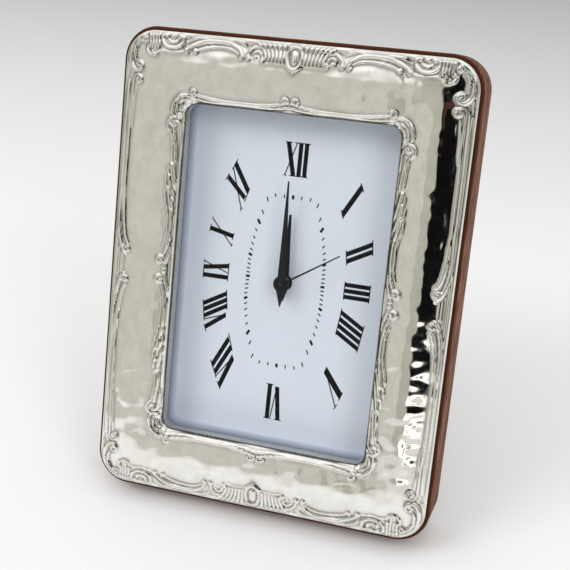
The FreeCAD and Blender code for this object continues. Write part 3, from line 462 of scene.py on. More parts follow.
RED_WOOD = ((0.090, 0.038, 0.025), (0.38, 0.185, 0.120))
FINISH["mahogany"] = wood("mahogany", RED_WOOD, 0.6, 170.0, painted_edge_shade="painted_edge_shade")
FINISH["back_board"] = wood("back_board", DARK_BOARD, 0.55, 50.0)
FINISH["leg_board"] = wood("leg_board", DARK_BOARD, 0.55, 50.0, -LEAN)
FINISH["pine"] = wood("pine", ((0.36, 0.22, 0.10), (0.58, 0.41, 0.22)), 0.7, 60.0)
print("woods done, finishes so far", len(FINISH))

# %% [markdown]
# ## Metals
#
# The works are brass and steel with fine hairlines. The silver is nearly a mirror. It needs three things
# more: a clouded warm tone, hairlines from years of wiping, and the grey in the bottoms of the relief,
# which could be painted but here follows from how much lower a point lies than its neighbours.

# %% Works metals


def metal(name, color, roughness, scale=300.0):
    """A turned or stamped metal with fine hairlines."""
    made, tree, shader = new_material(name, color, roughness, 1.0)
    lines = node(tree, "ShaderNodeGroup", node_tree=SCRATCHES, in_Scale=scale)
    wander = node(tree, "ShaderNodeMapRange", in_From_Min=0.4, in_From_Max=0.75, in_To_Min=roughness,
                  in_To_Max=roughness + 0.2)
    link(tree, lines.outputs["Value"], wander.inputs["Value"])
    link(tree, wander.outputs["Result"], shader.inputs["Roughness"])
    return made


FINISH["brass"] = metal("brass", (0.66, 0.44, 0.16), 0.22)
FINISH["steel"] = metal("steel", (0.55, 0.55, 0.55), 0.25)
FINISH["spring_steel"] = metal("spring_steel", (0.62, 0.61, 0.58), 0.2)
FINISH["soft_iron"] = metal("soft_iron", (0.30, 0.31, 0.33), 0.4)
FINISH["copper_wire"] = metal("copper_wire", (0.55, 0.19, 0.06), 0.3, 900.0)
print("metals done, finishes so far", len(FINISH))

# %% Silver
CLOUD_DARK, CLOUD_LIGHT = (0.82, 0.805, 0.755), (0.93, 0.915, 0.87)
HOLLOW_GREY = (0.20, 0.19, 0.17)


def make_silver():
    """Polished silver. The point attribute hollow is 1 in the bottoms of the relief, where polish never
    reaches and the metal stays dull and grey: its roughness is that of the polish plus 0.22 hollow."""
    made, tree, shader = new_material("silver", (0.90, 0.885, 0.84), 0.06, 1.0)
    hollow = node(tree, "ShaderNodeAttribute", attribute_name="hollow")
    place = node(tree, "ShaderNodeTexCoord")
    cloud = node(tree, "ShaderNodeTexNoise", in_Scale=170.0, in_Detail=5.0, in_Roughness=0.6,
                 in_Distortion=0.4)
    share = node(tree, "ShaderNodeMapRange", in_From_Min=0.35, in_From_Max=0.65)
    link(tree, place.outputs["Object"], cloud.inputs["Vector"])
    link(tree, cloud.outputs["Fac"], share.inputs["Value"])
    tone = two_tone(tree, share.outputs["Result"], CLOUD_DARK, CLOUD_LIGHT, shader.inputs["Base Color"])
    tint(tree, hollow.outputs["Fac"], tone, HOLLOW_GREY, shader.inputs["Base Color"])
    lines = node(tree, "ShaderNodeGroup", node_tree=SCRATCHES, in_Scale=500.0)
    polish = node(tree, "ShaderNodeMapRange", in_From_Min=0.45, in_From_Max=0.8, in_To_Min=0.045,
                  in_To_Max=0.11)
    dull = node(tree, "ShaderNodeMath", operation="MULTIPLY_ADD", in_1=0.22)
    link(tree, lines.outputs["Value"], polish.inputs["Value"])
    link(tree, hollow.outputs["Fac"], dull.inputs[0])
    link(tree, polish.outputs["Result"], dull.inputs[2])
    link(tree, dull.outputs["Value"], shader.inputs["Roughness"])
    return made


FINISH["silver"] = make_silver()
print("silver done")

# %% [markdown]
# ## Glass, card and the cell's jacket
#
# A pane this thin hardly bends light, so it is a mirror that is mostly transparent. Behind it the dial sits
# in a shallow box lined with bluish card. The dry cell has a grey jacket with a bright band.

# %% Glass and card
GLASS_INDEX = 1.18  # below plain glass, which stands for picture glass that hardly mirrors anything
CARD_FRONT, CARD_BACK = 0.0058, 0.0138  # depths in metres over which the painted shade on the card fades out
# painted shade: grey at the pane for the shadow of the silver's lip, fading to nearly the dial's white
CARD_PAINTED_SHADE, CARD_WHITE = (0.24, 0.26, 0.33), (0.64, 0.68, 0.77)


def make_glass():
    """A thin clear pane: each face mirrors by Fresnel's law and lets the rest straight through."""
    made, tree, shader = new_material("clear_glass", (1.0, 1.0, 1.0), 0.0, 1.0)
    mirror = node(tree, "ShaderNodeFresnel", in_IOR=GLASS_INDEX)
    link(tree, mirror.outputs["Fac"], shader.inputs["Alpha"])
    return made


def make_white_card():
    """The bluish card that lines the box between glass and dial. Its colour runs from grey at the pane to
    nearly the dial's white: painted shade for the shadow of the silver's lip."""
    made, tree, shader = new_material("white_card", (0.6, 0.64, 0.73), 0.9, Specular_IOR_Level=0.1)
    split = node(tree, "ShaderNodeSeparateXYZ")
    deep = node(tree, "ShaderNodeMapRange", in_From_Min=CARD_FRONT, in_From_Max=CARD_BACK)
    link(tree, upright_place(tree), split.inputs["Vector"])
    link(tree, split.outputs["Y"], deep.inputs["Value"])
    # painted shade: the card's colour darkens towards the pane
    two_tone(tree, deep.outputs["Result"], CARD_PAINTED_SHADE, CARD_WHITE, shader.inputs["Base Color"])
    return made


FINISH["clear_glass"] = make_glass()
FINISH["white_card"] = make_white_card()
print("glass and card done")

# %% The cell's jacket
PLUS_BAND = 0.013  # x in metres from which the jacket has its bright band
JACKET_GREY, JACKET_BAND = (0.06, 0.065, 0.07), (0.50, 0.36, 0.16)


def make_cell_jacket():
    """Grey, with a bright band at the plus end."""
    made, tree, shader = new_material("cell_jacket", (0.10, 0.10, 0.11), 0.25, 0.6)
    place = node(tree, "ShaderNodeTexCoord")
    split = node(tree, "ShaderNodeSeparateXYZ")
    band = node(tree, "ShaderNodeMath", operation="GREATER_THAN", in_1=PLUS_BAND)
    link(tree, place.outputs["Object"], split.inputs["Vector"])
    link(tree, split.outputs["X"], band.inputs[0])
    two_tone(tree, band.outputs["Value"], JACKET_GREY, JACKET_BAND, shader.inputs["Base Color"])
    return made


FINISH["cell_jacket"] = make_cell_jacket()
print("finishes", sorted(FINISH))

# %% [markdown]
# ## A finish for every piece
#
# The record names a finish for each solid, so every solid is given its own, also those inside the movement
# that only show when the case is opened. The leg leans the other way, so its grain has a material of its
# own.

# %% Finishes for all solids
for part in frame["record"]["subparts"]:
    mesh = frame["nodes"][part["node"]].data
    mesh.materials.clear()
    mesh.materials.append(FINISH["leg_board" if part["node"] == "strut_leg" else part["material_slot"]])

# %% [markdown]
# ## The pressed silver
#
# On the real clock a thin sheet is pressed into a steel die. The die gives it a pillow-shaped band with two
# borders of scrolls: an outer one along the wood and an inner one round the opening. Afterwards it is
# polished, so the high parts are bright mirrors and the bottoms stay grey.
#
# It could be carved by sculpting or by a painted height picture. A sculpt can't be repeated and a picture
# would be data from elsewhere, so the relief is drawn as the lines of a die are cut: as strokes. Each
# stroke is a curve with a width and a height, and a volute is a stroke that winds in. The height of the
# sheet at a point is that of the swelling band plus that of the highest stroke there.
#
# The borders are alike left and right and top and bottom, so only the quarter with x > 0, z > 0 is drawn.

# %% Kinds of strokes, in mm


def smooth_path(points, spacing=0.22):
    """Points along a Catmull-Rom curve through the given ones, with p(t) = (2 P1 + (P2 - P0) t
    + (2 P0 - 5 P1 + 4 P2 - P3) t^2 + (3 P1 - P0 - 3 P2 + P3) t^3) / 2 between P1 and P2."""
    p = np.array(points, float)
    p = np.vstack([2 * p[0] - p[1], p, 2 * p[-1] - p[-2]])
    out = []
    for k in range(1, len(p) - 2):
        count = max(2, int(np.linalg.norm(p[k + 1] - p[k]) / spacing))
        t = np.linspace(0, 1, count, endpoint=False)[:, None]
        out.append((2 * p[k] + (p[k + 1] - p[k - 1]) * t
                    + (2 * p[k - 1] - 5 * p[k] + 4 * p[k + 1] - p[k + 2]) * t ** 2
                    + (3 * p[k] - p[k - 1] - 3 * p[k + 1] + p[k + 2]) * t ** 3) / 2)
    return np.vstack(out + [p[-2:-1]])


BOLDNESS, BREADTH = 1.15, 1.25  # how much higher and wider the strokes are made than they were drawn
TAPER_AT = (0.0, 0.2, 0.8, 1.0)  # shares of a ridge's length between which it swells and thins
VOLUTE_START, VOLUTE_WINDS = 0.74, 0.66  # where a volute starts, and how far it winds in, as shares
VOLUTE_STATIONS = 14
VOLUTE_WIDE, VOLUTE_LEAST = 0.29, 0.48  # its half width as a share of the radius, and in mm at least
BEAD_WIDE, BEAD_LEAST, BEAD_HIGH = 0.25, 0.5, 0.85  # the same of its bead, and the bead's share of the height
FINE_SPACING = 0.15
strokes = []


def ridge(points, width, height, start=0.5, end=0.5):
    """A round-topped ridge of a half width; start and end are its widths there, as shares of the middle's.
    With a share s of the width, the height is h times the square root of s."""
    path = smooth_path(points)
    t = np.linspace(0, 1, len(path))
    taper = np.interp(t, TAPER_AT, [start, 1, 1, end])
    strokes.append((path, BREADTH * width * taper, BOLDNESS * height * np.sqrt(taper)))


def curl(x, z, radius, start, sense=1, height=0.6, turns=1.1):
    """A volute: a ridge that winds in from a radius, r = 0.74 R (1 - 0.66 a / a_end), round a bead."""
    angle = np.linspace(0, turns * 2 * math.pi, VOLUTE_STATIONS)
    r = radius * VOLUTE_START * (1 - VOLUTE_WINDS * angle / angle[-1])
    at = math.radians(start) + sense * angle
    path = smooth_path(np.stack([x + r * np.cos(at), z + r * np.sin(at)], -1), FINE_SPACING)
    t = np.linspace(1, 0.75, len(path))
    strokes.append((path, max(radius * VOLUTE_WIDE, VOLUTE_LEAST) * t, BOLDNESS * height * t))
    width, high = max(radius * BEAD_WIDE, BEAD_LEAST), BOLDNESS * height * BEAD_HIGH
    strokes.append((np.array([[x, z]]), np.array([width]), np.array([high])))


def knob(x, z, half_x, half_z, height):
    """A bead or an oval boss: a short ridge as wide as its smaller half."""
    reach = max(half_z - half_x, 0.0)
    lie = max(half_x - half_z, 0.0)
    path = np.array([[x - lie, z - reach], [x, z], [x + lie, z + reach]])
    path = smooth_path(path, FINE_SPACING) if reach + lie > 0 else path[1:2]
    strokes.append((path, np.full(len(path), min(half_x, half_z)), np.full(len(path), BOLDNESS * height)))


print("a path through three places has", len(smooth_path([(0, 0), (1, 1), (2, 0)])), "points")

# %% The outer border


def draw_top_centre():
    """The shell in the middle of the top and bottom: an oval boss, its ring, and a fan of flutes."""
    knob(0, 96.0, 1.8, 3.4, 0.75)
    angle = np.linspace(-90, 90, 9)
    ring = [(3.25 * math.cos(math.radians(a)), 96.0 + 4.7 * math.sin(math.radians(a))) for a in angle]
    ridge(ring, 0.75, 0.65, 1, 1)
    ridge([(0, 90.5), (1.5, 91.1), (3.0, 92.3), (4.2, 93.0)], 0.6, 0.45, 1)
    ridge([(0, 91.6), (1.4, 92.2), (2.4, 93.2)], 0.5, 0.35, 1)
    for k in range(6):
        low, high = 4.5 + 1.6 * k, 4.9 + 2.35 * k
        path = [(low, 93.9 + 0.12 * k), (low + 0.1, 96.0), (low + 0.35 * (high - low), 98.6), (high, 101.3)]
        ridge(path, 0.80, 0.62, 0.9, 0.6)
        knob(low, 93.9 + 0.12 * k, 0.62, 0.62, 0.6)
    ridge([(12.4, 95.4), (13.2, 97.5), (15.0, 98.9), (17.4, 98.8), (19.3, 97.3), (20.2, 95.6)], 0.7, 0.6)
    ridge([(14.0, 95.2), (14.9, 96.9), (16.6, 97.2), (18.1, 96.0)], 0.6, 0.5)
    curl(20.0, 94.2, 1.35, 90, -1)
    curl(13.9, 93.7, 1.35, 90, 1)
    knob(16.9, 95.0, 0.8, 0.8, 0.45)
    ridge([(4.0, 92.7), (7, 92.9), (10.5, 93.0), (13.5, 92.2)], 0.5, 0.25)


def draw_long_scroll():
    """The long double scroll between the shell and the oval, with volutes at both ends."""
    ridge([(22.9, 95.0), (24.3, 97.3), (27.5, 98.9), (32, 99.6), (37, 99.5), (41.5, 98.7), (45.2, 97.1),
           (48.0, 95.2)], 1.05, 0.7)
    ridge([(24.4, 95.4), (27, 96.8), (31, 97.5), (36, 97.2), (40, 96.3), (43.0, 95.2)], 0.75, 0.5)
    ridge([(21.3, 99.0), (25, 100.9), (31, 101.4), (38, 101.3), (43.5, 100.3), (48.3, 98.2)], 0.75, 0.5)
    curl(23.3, 94.1, 1.35, 90, 1)
    curl(43.6, 95.0, 1.3, 60, -1)
    curl(47.7, 94.6, 1.3, 60, -1)


def draw_oval():
    """The oval C-scroll, open at the top, with a smaller one inside it."""
    ridge([(51.2, 101.2), (49.9, 99.8), (50.1, 97.6), (51.9, 96.0), (54.6, 95.4), (57.3, 96.0), (59.1, 97.7),
           (59.4, 99.8), (58.2, 101.1)], 0.8, 0.7)
    ridge([(52.0, 99.6), (52.7, 98.3), (54.6, 97.6), (56.3, 98.2), (57.0, 99.4)], 0.6, 0.45)
    curl(51.3, 100.6, 1.1, 90, 1)
    curl(57.4, 100.5, 1.1, 90, -1)
    knob(54.5, 100.4, 1.2, 0.6, 0.35)
    ridge([(48.8, 94.2), (51.5, 93.9), (54.5, 93.5), (58, 93.9), (61, 93.3)], 0.6, 0.3)


def draw_corner():
    """The corner: flutes, two volutes, and three scrolls that run round to the side."""
    for k in range(4):
        x = 60.9 + 1.35 * k
        ridge([(x, 101.4), (x + 0.1, 99.0), (x - 0.1, 96.6), (x + 0.2, 95.0)], 0.64, 0.6, 0.6, 0.9)
    curl(63.2, 93.5, 1.6, 120, 1, 0.65)
    ridge([(66.4, 94.9), (65.7, 92.9), (63.7, 91.7), (61.7, 92.1), (60.5, 93.7)], 0.55, 0.5)
    curl(67.3, 97.4, 2.0, 0, 1, 0.65)
    knob(65.8, 95.4, 0.8, 0.8, 0.5)
    ridge([(68.4, 99.9), (70.7, 99.2), (73.0, 97.1), (74.0, 93.4), (73.8, 89.6), (72.7, 86.4), (70.6, 84.7),
           (68.9, 85.2)], 0.95, 0.75, 0.6, 0.9)
    curl(69.4, 87.0, 2.5, 250, -1, 0.8)
    ridge([(69.4, 97.6), (71.0, 96.0), (71.9, 93.3), (71.7, 90.2), (70.9, 88.6)], 0.62, 0.6)
    ridge([(66.5, 101.4), (70.9, 101.0), (73.9, 98.8), (75.3, 95.4), (75.5, 91.0), (75.1, 87.0),
           (74.4, 83.6)], 0.45, 0.35)


def draw_side_reeds():
    """The long reeds of the sides, from the volute below the corner to the pair at the middle."""
    curl(69.3, 81.0, 2.5, 80, 1, 0.75)
    ridge([(70.0, 83.4), (71.6, 81.6), (71.9, 77), (72.1, 70), (72.3, 60), (72.4, 48), (72.4, 34),
           (72.1, 25)], 0.7, 0.6)
    ridge([(72.3, 31), (71.9, 22), (71.1, 15.5), (70.1, 11.6), (68.9, 9.4)], 0.95, 0.62, 0.6, 0.8)
    ridge([(72.2, 84.2), (73.2, 80), (73.4, 70), (73.5, 55), (73.5, 40), (73.3, 30), (72.9, 22), (72.5, 17)],
          0.52, 0.55, 0.5, 0.2)
    ridge([(73.9, 80), (74.3, 60), (74.4, 40), (74.3, 27)], 0.6, 0.55)
    ridge([(74.3, 33), (74.1, 22), (73.4, 14), (72.4, 8.6), (71.3, 5.8), (70.0, 4.6)], 0.85, 0.58, 0.6, 0.8)
    ridge([(70.2, 78.8), (70.7, 74), (71.0, 68), (71.2, 60)], 0.5, 0.4)
    ridge([(74.6, 22), (74.6, 12), (74.4, 0)], 0.45, 0.35, 0.4, 1)
    curl(69.5, 7.0, 2.5, 20, -1, 0.75)
    ridge([(71.2, 4.6), (71.1, 0)], 0.45, 0.4, 0.5, 1)
    ridge([(72.1, 4.9), (72.0, 0)], 0.45, 0.4, 0.5, 1)
    ridge([(73.2, 7.0), (73.1, 0)], 0.45, 0.4, 0.5, 1)


for draw in (draw_top_centre, draw_long_scroll, draw_oval, draw_corner, draw_side_reeds):
    draw()
print("strokes of the outer border", len(strokes))

# %% The inner border


def draw_inner_top():
    """The reeds above and below the opening, between the pair of volutes and the corner."""
    curl(2.4, 77.9, 2.2, 200, -1, 0.75)
    ridge([(3.4, 76.7), (6.5, 76.0), (12, 75.3), (20, 75.0), (28, 75.1), (35, 75.7), (40, 76.5),
           (41.8, 77.0)], 0.72, 0.62)
    ridge([(0.0, 75.4), (3, 75.0), (8, 74.4), (14, 73.9), (22, 73.8), (30, 73.9), (38, 74.4), (43, 75.1),
           (45.5, 75.6)], 0.62, 0.52, 1)
    curl(43.0, 77.7, 2.2, 250, 1, 0.75)


def draw_inner_corner():
    """The C-scrolls round each corner of the opening."""
    ridge([(45.0, 76.3), (48.0, 75.9), (50.4, 74.2), (51.9, 71.2), (52.0, 68.2), (51.3, 66.6)], 0.8, 0.7)
    ridge([(45.6, 74.7), (47.8, 74.2), (49.6, 72.3), (50.3, 69.8), (50.1, 67.8)], 0.62, 0.6)
    curl(45.3, 73.9, 1.25, 90, 1)
    ridge([(46.9, 72.5), (48.2, 71.1), (48.8, 69.4)], 0.65, 0.5)
    ridge([(45.0, 72.0), (46.6, 71.2), (47.4, 69.8), (47.5, 67.5)], 0.5, 0.4)
    knob(48.8, 67.6, 1.3, 1.3, 0.75)
    curl(51.0, 64.4, 2.5, 90, -1, 0.8)
    ridge([(49.4, 66.4), (51.6, 66.5), (53.3, 65.0), (53.5, 62.6), (52.5, 60.6)], 0.65, 0.55)
    curl(46.9, 64.6, 1.15, 90, 1, 0.5)


def draw_inner_side():
    """The twisted acanthus leaves and reeds along the long sides of the opening."""
    ridge([(49.6, 65.0), (48.7, 62.6), (48.2, 59.0), (48.0, 55)], 0.62, 0.55)
    ridge([(52.0, 60.8), (51.3, 57), (50.9, 52.5), (50.7, 48.5)], 0.5, 0.45)
    ridge([(50.7, 61), (50.0, 56), (49.5, 52), (49.2, 47.5)], 0.6, 0.55)
    ridge([(47.9, 60), (47.7, 48), (47.6, 36), (47.6, 20), (47.6, 0)], 0.5, 0.45, 0.5, 1)
    for head_x, head_z, drift in ((50.3, 45.6, 1.9), (51.0, 40.8, 2.2), (51.0, 35.6, 1.9)):
        knob(head_x, head_z, 1.0, 1.2, 0.75)
        path = [(head_x + 0.2, head_z + 0.6), (head_x - 0.35, head_z - 2.6),
                (head_x - 0.55 * drift, head_z - 6.2), (head_x - drift, head_z - 10.2)]
        ridge(path, 0.85, 0.7, 1, 0.3)
        ridge([(head_x + 1.7, head_z - 0.3), (head_x + 1.5, head_z - 3.0), (head_x + 0.7, head_z - 6.0)],
              0.42, 0.4)
    ridge([(52.7, 35), (52.3, 31.5), (51.2, 27), (50.6, 22), (50.6, 16), (51.0, 12.6), (51.9, 9.5)],
          0.5, 0.45)
    ridge([(49.6, 28), (49.1, 22), (49.2, 16), (50.0, 10.5), (51.3, 6.9)], 0.8, 0.62)
    curl(52.4, 4.1, 2.6, 120, -1, 0.8)
    ridge([(48.4, 12), (48.8, 8), (50.0, 4.4), (50.9, 2.2)], 0.55, 0.5)
    curl(50.7, 0.9, 0.95, 90, -1, 0.5)


for draw in (draw_inner_top, draw_inner_corner, draw_inner_side):
    draw()
print("strokes of both borders", len(strokes))

# %% [markdown]
# ## The sheet under the strokes
#
# The band is a family of rounded rectangles, one inside the other, whose height follows the pressed
# profile. So the grid's rows run along the borders, and a long reed stays smooth. The strokes are laid on
# top, and the plain field between them gets the soft unevenness of planished metal. A flat plate with a
# displacement map would need far more faces for the same scrolls, because its rows wouldn't follow the
# borders.

# %% Rings of the band
BAND = 29.3  # width of the silver band
OUTER_HALF = (76.2, 102.2)  # half the width and half the height of the silver
OUTER_CORNER, OPENING_CORNER = 13.0, 5.0


def ring_points(inset, counts):
    """Points of rounded rectangles that lie an inset inside the silver's edge, one row for each inset.
    counts gives the columns of a short side, a corner and a long side; a row goes once round. A corner is
    x = s (half - inset - r) + r cos a, and r goes from the outer corner's radius to the opening's."""
    inset = np.asarray(inset, float)[:, None]
    radius = OUTER_CORNER + (OPENING_CORNER - OUTER_CORNER) * inset / BAND
    half_x, half_z = OUTER_HALF[0] - inset, OUTER_HALF[1] - inset
    short, corner, long = counts
    xs, zs = [], []
    for quarter, (sx, sz) in enumerate(((1, 1), (-1, 1), (-1, -1), (1, -1))):
        angle = math.pi / 2 * (quarter + np.linspace(0, 1, corner, endpoint=False))[None, :]
        xs.append(sx * (half_x - radius) + radius * np.cos(angle))
        zs.append(sz * (half_z - radius) + radius * np.sin(angle))
        along_x = quarter in (0, 2)
        t = np.linspace(0, 1, short if along_x else long, endpoint=False)[None, :]
        reach = (half_x if along_x else half_z) - radius
        run = (reach - 2 * reach * t) * (1 if quarter < 2 else -1)
        level = np.broadcast_to((sz * half_z) if along_x else (sx * half_x), run.shape)
        xs.append(run if along_x else level)
        zs.append(level if along_x else run)
    return np.concatenate(xs, 1), np.concatenate(zs, 1)


print("half the opening", [round(half - BAND, 2) for half in OUTER_HALF], "mm")

# %% The swelling
SKIRT, CROWN = 0.9, 5.4  # height of the sheet at its outer edge and at the top of the swelling
# Stations of the profile: shares of the band's width and of the rise
SWELL = [(0.0, 0.0), (0.012, 0.22), (0.06, 0.40), (0.14, 0.56), (0.28, 0.78), (0.43, 0.95), (0.58, 1.0),
         (0.74, 0.94), (0.88, 0.82), (0.955, 0.66), (1.0, 0.422)]
SINK, SINK_RUN = 1.35, 4.0  # how deep the ground lies behind the solid's face, and how far in that is reached
FINE_STEPS, EASING = 400, 12  # steps of the smooth profile, and those averaged on each side
CRISP_SHARE = 0.03  # share of the band at the edge that isn't averaged


def swell(inset, sink=SINK):
    """Height of the ground of the band: a smooth curve through the stations of the pressed profile, sunk by
    sink (3 a^2 - 2 a^3) with a = inset / 4, and a = 1 from there on."""
    share, up = np.array(SWELL).T
    fine = np.linspace(0, 1, FINE_STEPS)
    height = SKIRT + (CROWN - SKIRT) * np.interp(fine, share, up)
    kernel = np.hanning(2 * EASING + 1)
    before, after = 2 * height[0] - height[EASING:0:-1], 2 * height[-1] - height[-2:-2 - EASING:-1]
    eased = np.convolve(np.concatenate([before, height, after]), kernel / kernel.sum(), "valid")
    eased = np.where(fine < CRISP_SHARE, height, eased)
    a = np.clip(inset / SINK_RUN, 0, 1)
    return np.interp(inset / BAND, fine, eased) - sink * (3 * a ** 2 - 2 * a ** 3)


print("ground in the middle of the band", round(float(swell(BAND / 2)), 2), "mm")

# %% The relief
SHELL_SHIFT = 0.9  # how far the shells sit left of the middle
SECTION_POWER = 1.4  # 1 would give a parabola, and more a narrower crest
FOOT_SHARE, FOOT_REACH = 0.22, 4.8  # height of a stroke's foot, and the square of its reach, as shares
POINTS_AT_ONCE = 20000


def relief(x, z):
    """Height of the strokes at points of the sheet. A stroke's section is h (1 - (d / w)^2)^1.4, the
    highest one counts, and a low broad foot under each stroke joins neighbours into one border."""
    folded_x, folded_z = np.abs(x + SHELL_SHIFT * (1 - np.abs(x) / OUTER_HALF[0])), np.abs(z)
    top = np.zeros_like(x)
    foot = np.zeros_like(x)
    for path, width, height in strokes:
        reach = math.sqrt(FOOT_REACH) * width.max()
        low, high = path.min(0) - reach, path.max(0) + reach
        near = (folded_x > low[0]) & (folded_x < high[0]) & (folded_z > low[1]) & (folded_z < high[1])
        near = np.nonzero(near)[0]
        for start in range(0, len(near), POINTS_AT_ONCE):
            some = near[start:start + POINTS_AT_ONCE]
            gap = (folded_x[some, None] - path[:, 0]) ** 2 + (folded_z[some, None] - path[:, 1]) ** 2
            closest = np.argmin(gap / width ** 2, 1)
            share = gap[np.arange(len(some)), closest] / width[closest] ** 2
            high_here = height[closest]
            crest = high_here * np.clip(1 - share, 0, 1) ** SECTION_POWER
            top[some] = np.maximum(top[some], crest)
            low_foot = FOOT_SHARE * high_here * np.clip(1 - share / FOOT_REACH, 0, 1)
            foot[some] = np.maximum(foot[some], low_foot)
    return top + foot


print("highest stroke", round(max(height.max() for _, _, height in strokes), 2), "mm")

# %% The planished field
# Length and depth of the waves
PLANISHING = ((27, 0.022), (17, 0.025), (11, 0.023), (7.5, 0.017), (5.5, 0.011), (4, 0.004))
WAVES_OF_EACH, PLANISHING_SEED = 3, 7


def hammering(x, z):
    """The slow unevenness of a planished sheet: a sum of waves depth * sin(2 pi s / length + phase), where s
    is the way along a seeded direction."""
    rng = np.random.default_rng(PLANISHING_SEED)
    total = np.zeros_like(x)
    for wave_length, depth in PLANISHING:
        for _ in range(WAVES_OF_EACH):
            direction, phase = rng.uniform(0, math.pi), rng.uniform(0, 2 * math.pi)
            along = x * math.cos(direction) + z * math.sin(direction)
            total += depth * np.sin(2 * math.pi * along / wave_length + phase)
    return total


print("waves in the field", WAVES_OF_EACH * len(PLANISHING))

# %% The grid of the sheet
COUNTS = (286, 46, 420)  # columns of a short side, a corner and a long side
INSETS = np.concatenate([np.linspace(0, 12.2, 25), np.linspace(13.2, 18.2, 5), np.linspace(19.0, 28.9, 22)])
LIP, GLASS_FRONT = 2.8, 4.2  # height where the border turns into the opening, and depth of its wall's foot
SHEET_THICK = 0.5
WALL_TOP = SINK - LIP
# Rows (inset, depth, hollow) behind the face: down the wall of the opening and back along the wood
BEHIND = ((BAND, WALL_TOP + 0.25, 0.95), (BAND, WALL_TOP + 0.7, 0.95), (BAND, WALL_TOP + 1.3, 0.5),
          (BAND, GLASS_FRONT - 0.2, 0.55), (BAND, GLASS_FRONT, 0.55), (BAND - SHEET_THICK, GLASS_FRONT, 0.55),
          (BAND - SHEET_THICK, -0.9, 0.0), (14.0, -3.0, 0.0), (0.9, -0.6, 0.0), (0.0, 0.0, 0.0))
print("rows and columns", len(INSETS) + len(BEHIND), 2 * COUNTS[0] + 4 * COUNTS[1] + 2 * COUNTS[2])

# %% The silver sheet
STEP = 0.15  # each height is the mean of four places this far off, so that slanting strokes stay smooth
STROKES_FROM, STROKES_FULL = 0.8, 2.0  # insets between which the strokes set in at the outer edge
STROKES_FADE, STROKES_END = 0.8, 29.0  # over how much they end, and the inset where they end, at the opening
FIELD_FROM, FIELD_END, FIELD_FADE = 2.0, 28.5, 6.0  # the same for the planished field


def raised_strokes(x, z, inset):
    """The relief, averaged over four places. It starts 0.8 mm inside the edge and ends at the opening, by the
    share (inset - from) / (full - from) and the share (end - inset) / fade, both held between 0 and 1."""
    fade = (np.clip((inset - STROKES_FROM) / (STROKES_FULL - STROKES_FROM), 0, 1)
            * np.clip((STROKES_END - inset) / STROKES_FADE, 0, 1))
    raised = np.zeros_like(x)
    for shift_x, shift_z in ((-STEP, -STEP), (STEP, -STEP), (STEP, STEP), (-STEP, STEP)):
        raised += relief((x + shift_x).ravel(), (z + shift_z).ravel()).reshape(x.shape) / 4 * fade
    return raised


def hollows(raised, blurs=3, gain=6.0, most=0.9):
    """How far a point lies below its neighbours: the heights, averaged over five points three times, less the
    heights themselves, times a gain."""
    blurred = raised
    for _ in range(blurs):
        blurred = (blurred + np.roll(blurred, 1, 1) + np.roll(blurred, -1, 1)
                   + np.vstack([blurred[:1], blurred[:-1]]) + np.vstack([blurred[1:], blurred[-1:]])) / 5
    return np.clip((blurred - raised) * gain, 0, 1) * most


def make_silver_front():
    """The face at the height min(ground + strokes + hammering, solid's face), and the rows behind it."""
    x, z = ring_points(INSETS, COUNTS)
    inset = np.broadcast_to(INSETS[:, None], x.shape)
    raised = raised_strokes(x, z, inset)
    field = (np.clip((inset - FIELD_FROM) / FIELD_FADE, 0, 1)
             * np.clip((FIELD_END - inset) / FIELD_FADE, 0, 1))
    height = np.minimum(swell(inset) + raised + hammering(x, z) * field, swell(inset, 0))
    behind_inset, behind_depth, behind_hollow = np.array(BEHIND).T[..., None]
    wall_x, wall_z = ring_points(behind_inset[:, 0], COUNTS)
    wall = np.stack([wall_x, np.broadcast_to(behind_depth, wall_x.shape), wall_z], -1)
    points = np.concatenate([np.stack([x, -height, z], -1), wall], 0)
    quads = grid_quads(*points.shape[:2], wrap_rows=True, wrap_columns=True)
    obj = add_mesh("silver_front_relief", stand(points), quads, FINISH["silver"], "clock", True,
                   ["silver_front"])
    wall_hollow = np.broadcast_to(behind_hollow, wall_x.shape)
    mark_points(obj, "hollow", np.concatenate([hollows(raised), wall_hollow]))
    return outward(obj)


silver = make_silver_front()
print("silver triangles", sum(len(p.vertices) - 2 for p in silver.data.polygons))

# %% [markdown]
# ## The wooden frame
#
# A mitred mahogany moulding with rounded edges, stained dark and lacquered. It shows as a narrow rim round
# the silver and at the sides. A box with a bevel would give the same section all round but no flat for it
# to stand on. Here one section is swept round, and what would reach below the ground is pressed flat.

# %% Wooden frame
WOOD_CORNER, WOOD_DEPTH = 14.6, 26.5
FRONT_ROUND, BACK_ROUND = 1.3, 2.5
OPENING_INSET, RABBET_INSET = 30.4, 27.5  # from the wood's outer edge to the opening and to the rabbet's side
LEAST_CORNER, CORNER_STATIONS = 1.0, 17
ROUND_STATIONS = 7
SEAT = [(2.1, 0.3), (2.1, 0.0), (1.7, 0.0)]  # the step beside the silver's edge
SIDE = [(0, 1.8), (0, 3.5), (0, 12)]  # stations down the outer side
EDGE_SHADE_FADE = (0.2, 1.0)  # depths between which the painted shade of the front edge ends
EDGE_SHADE_SIDE = 4  # depth from which rows aren't part of the front edge


def wood_section():
    """Rows (inset, depth) over the silver's seat, round both outer edges and into the rabbet. The edges are
    quarter rounds, (r - r sin a, r - r cos a) in front and (r - r cos a, depth - r + r sin a) behind."""
    front, back, depth = FRONT_ROUND, BACK_ROUND, WOOD_DEPTH
    turn = np.linspace(0, math.pi / 2, ROUND_STATIONS)
    section = [(OPENING_INSET, GLASS_FRONT), (OPENING_INSET, 3.0)] + SEAT
    section += [(front - front * math.sin(a), front - front * math.cos(a)) for a in turn]
    section += SIDE + [(0, depth - back - 0.5)]
    section += [(back - back * math.cos(a), depth - back + back * math.sin(a)) for a in turn]
    return np.array(section + [(3.0, depth), (RABBET_INSET, depth), (RABBET_INSET, GLASS_FRONT)])


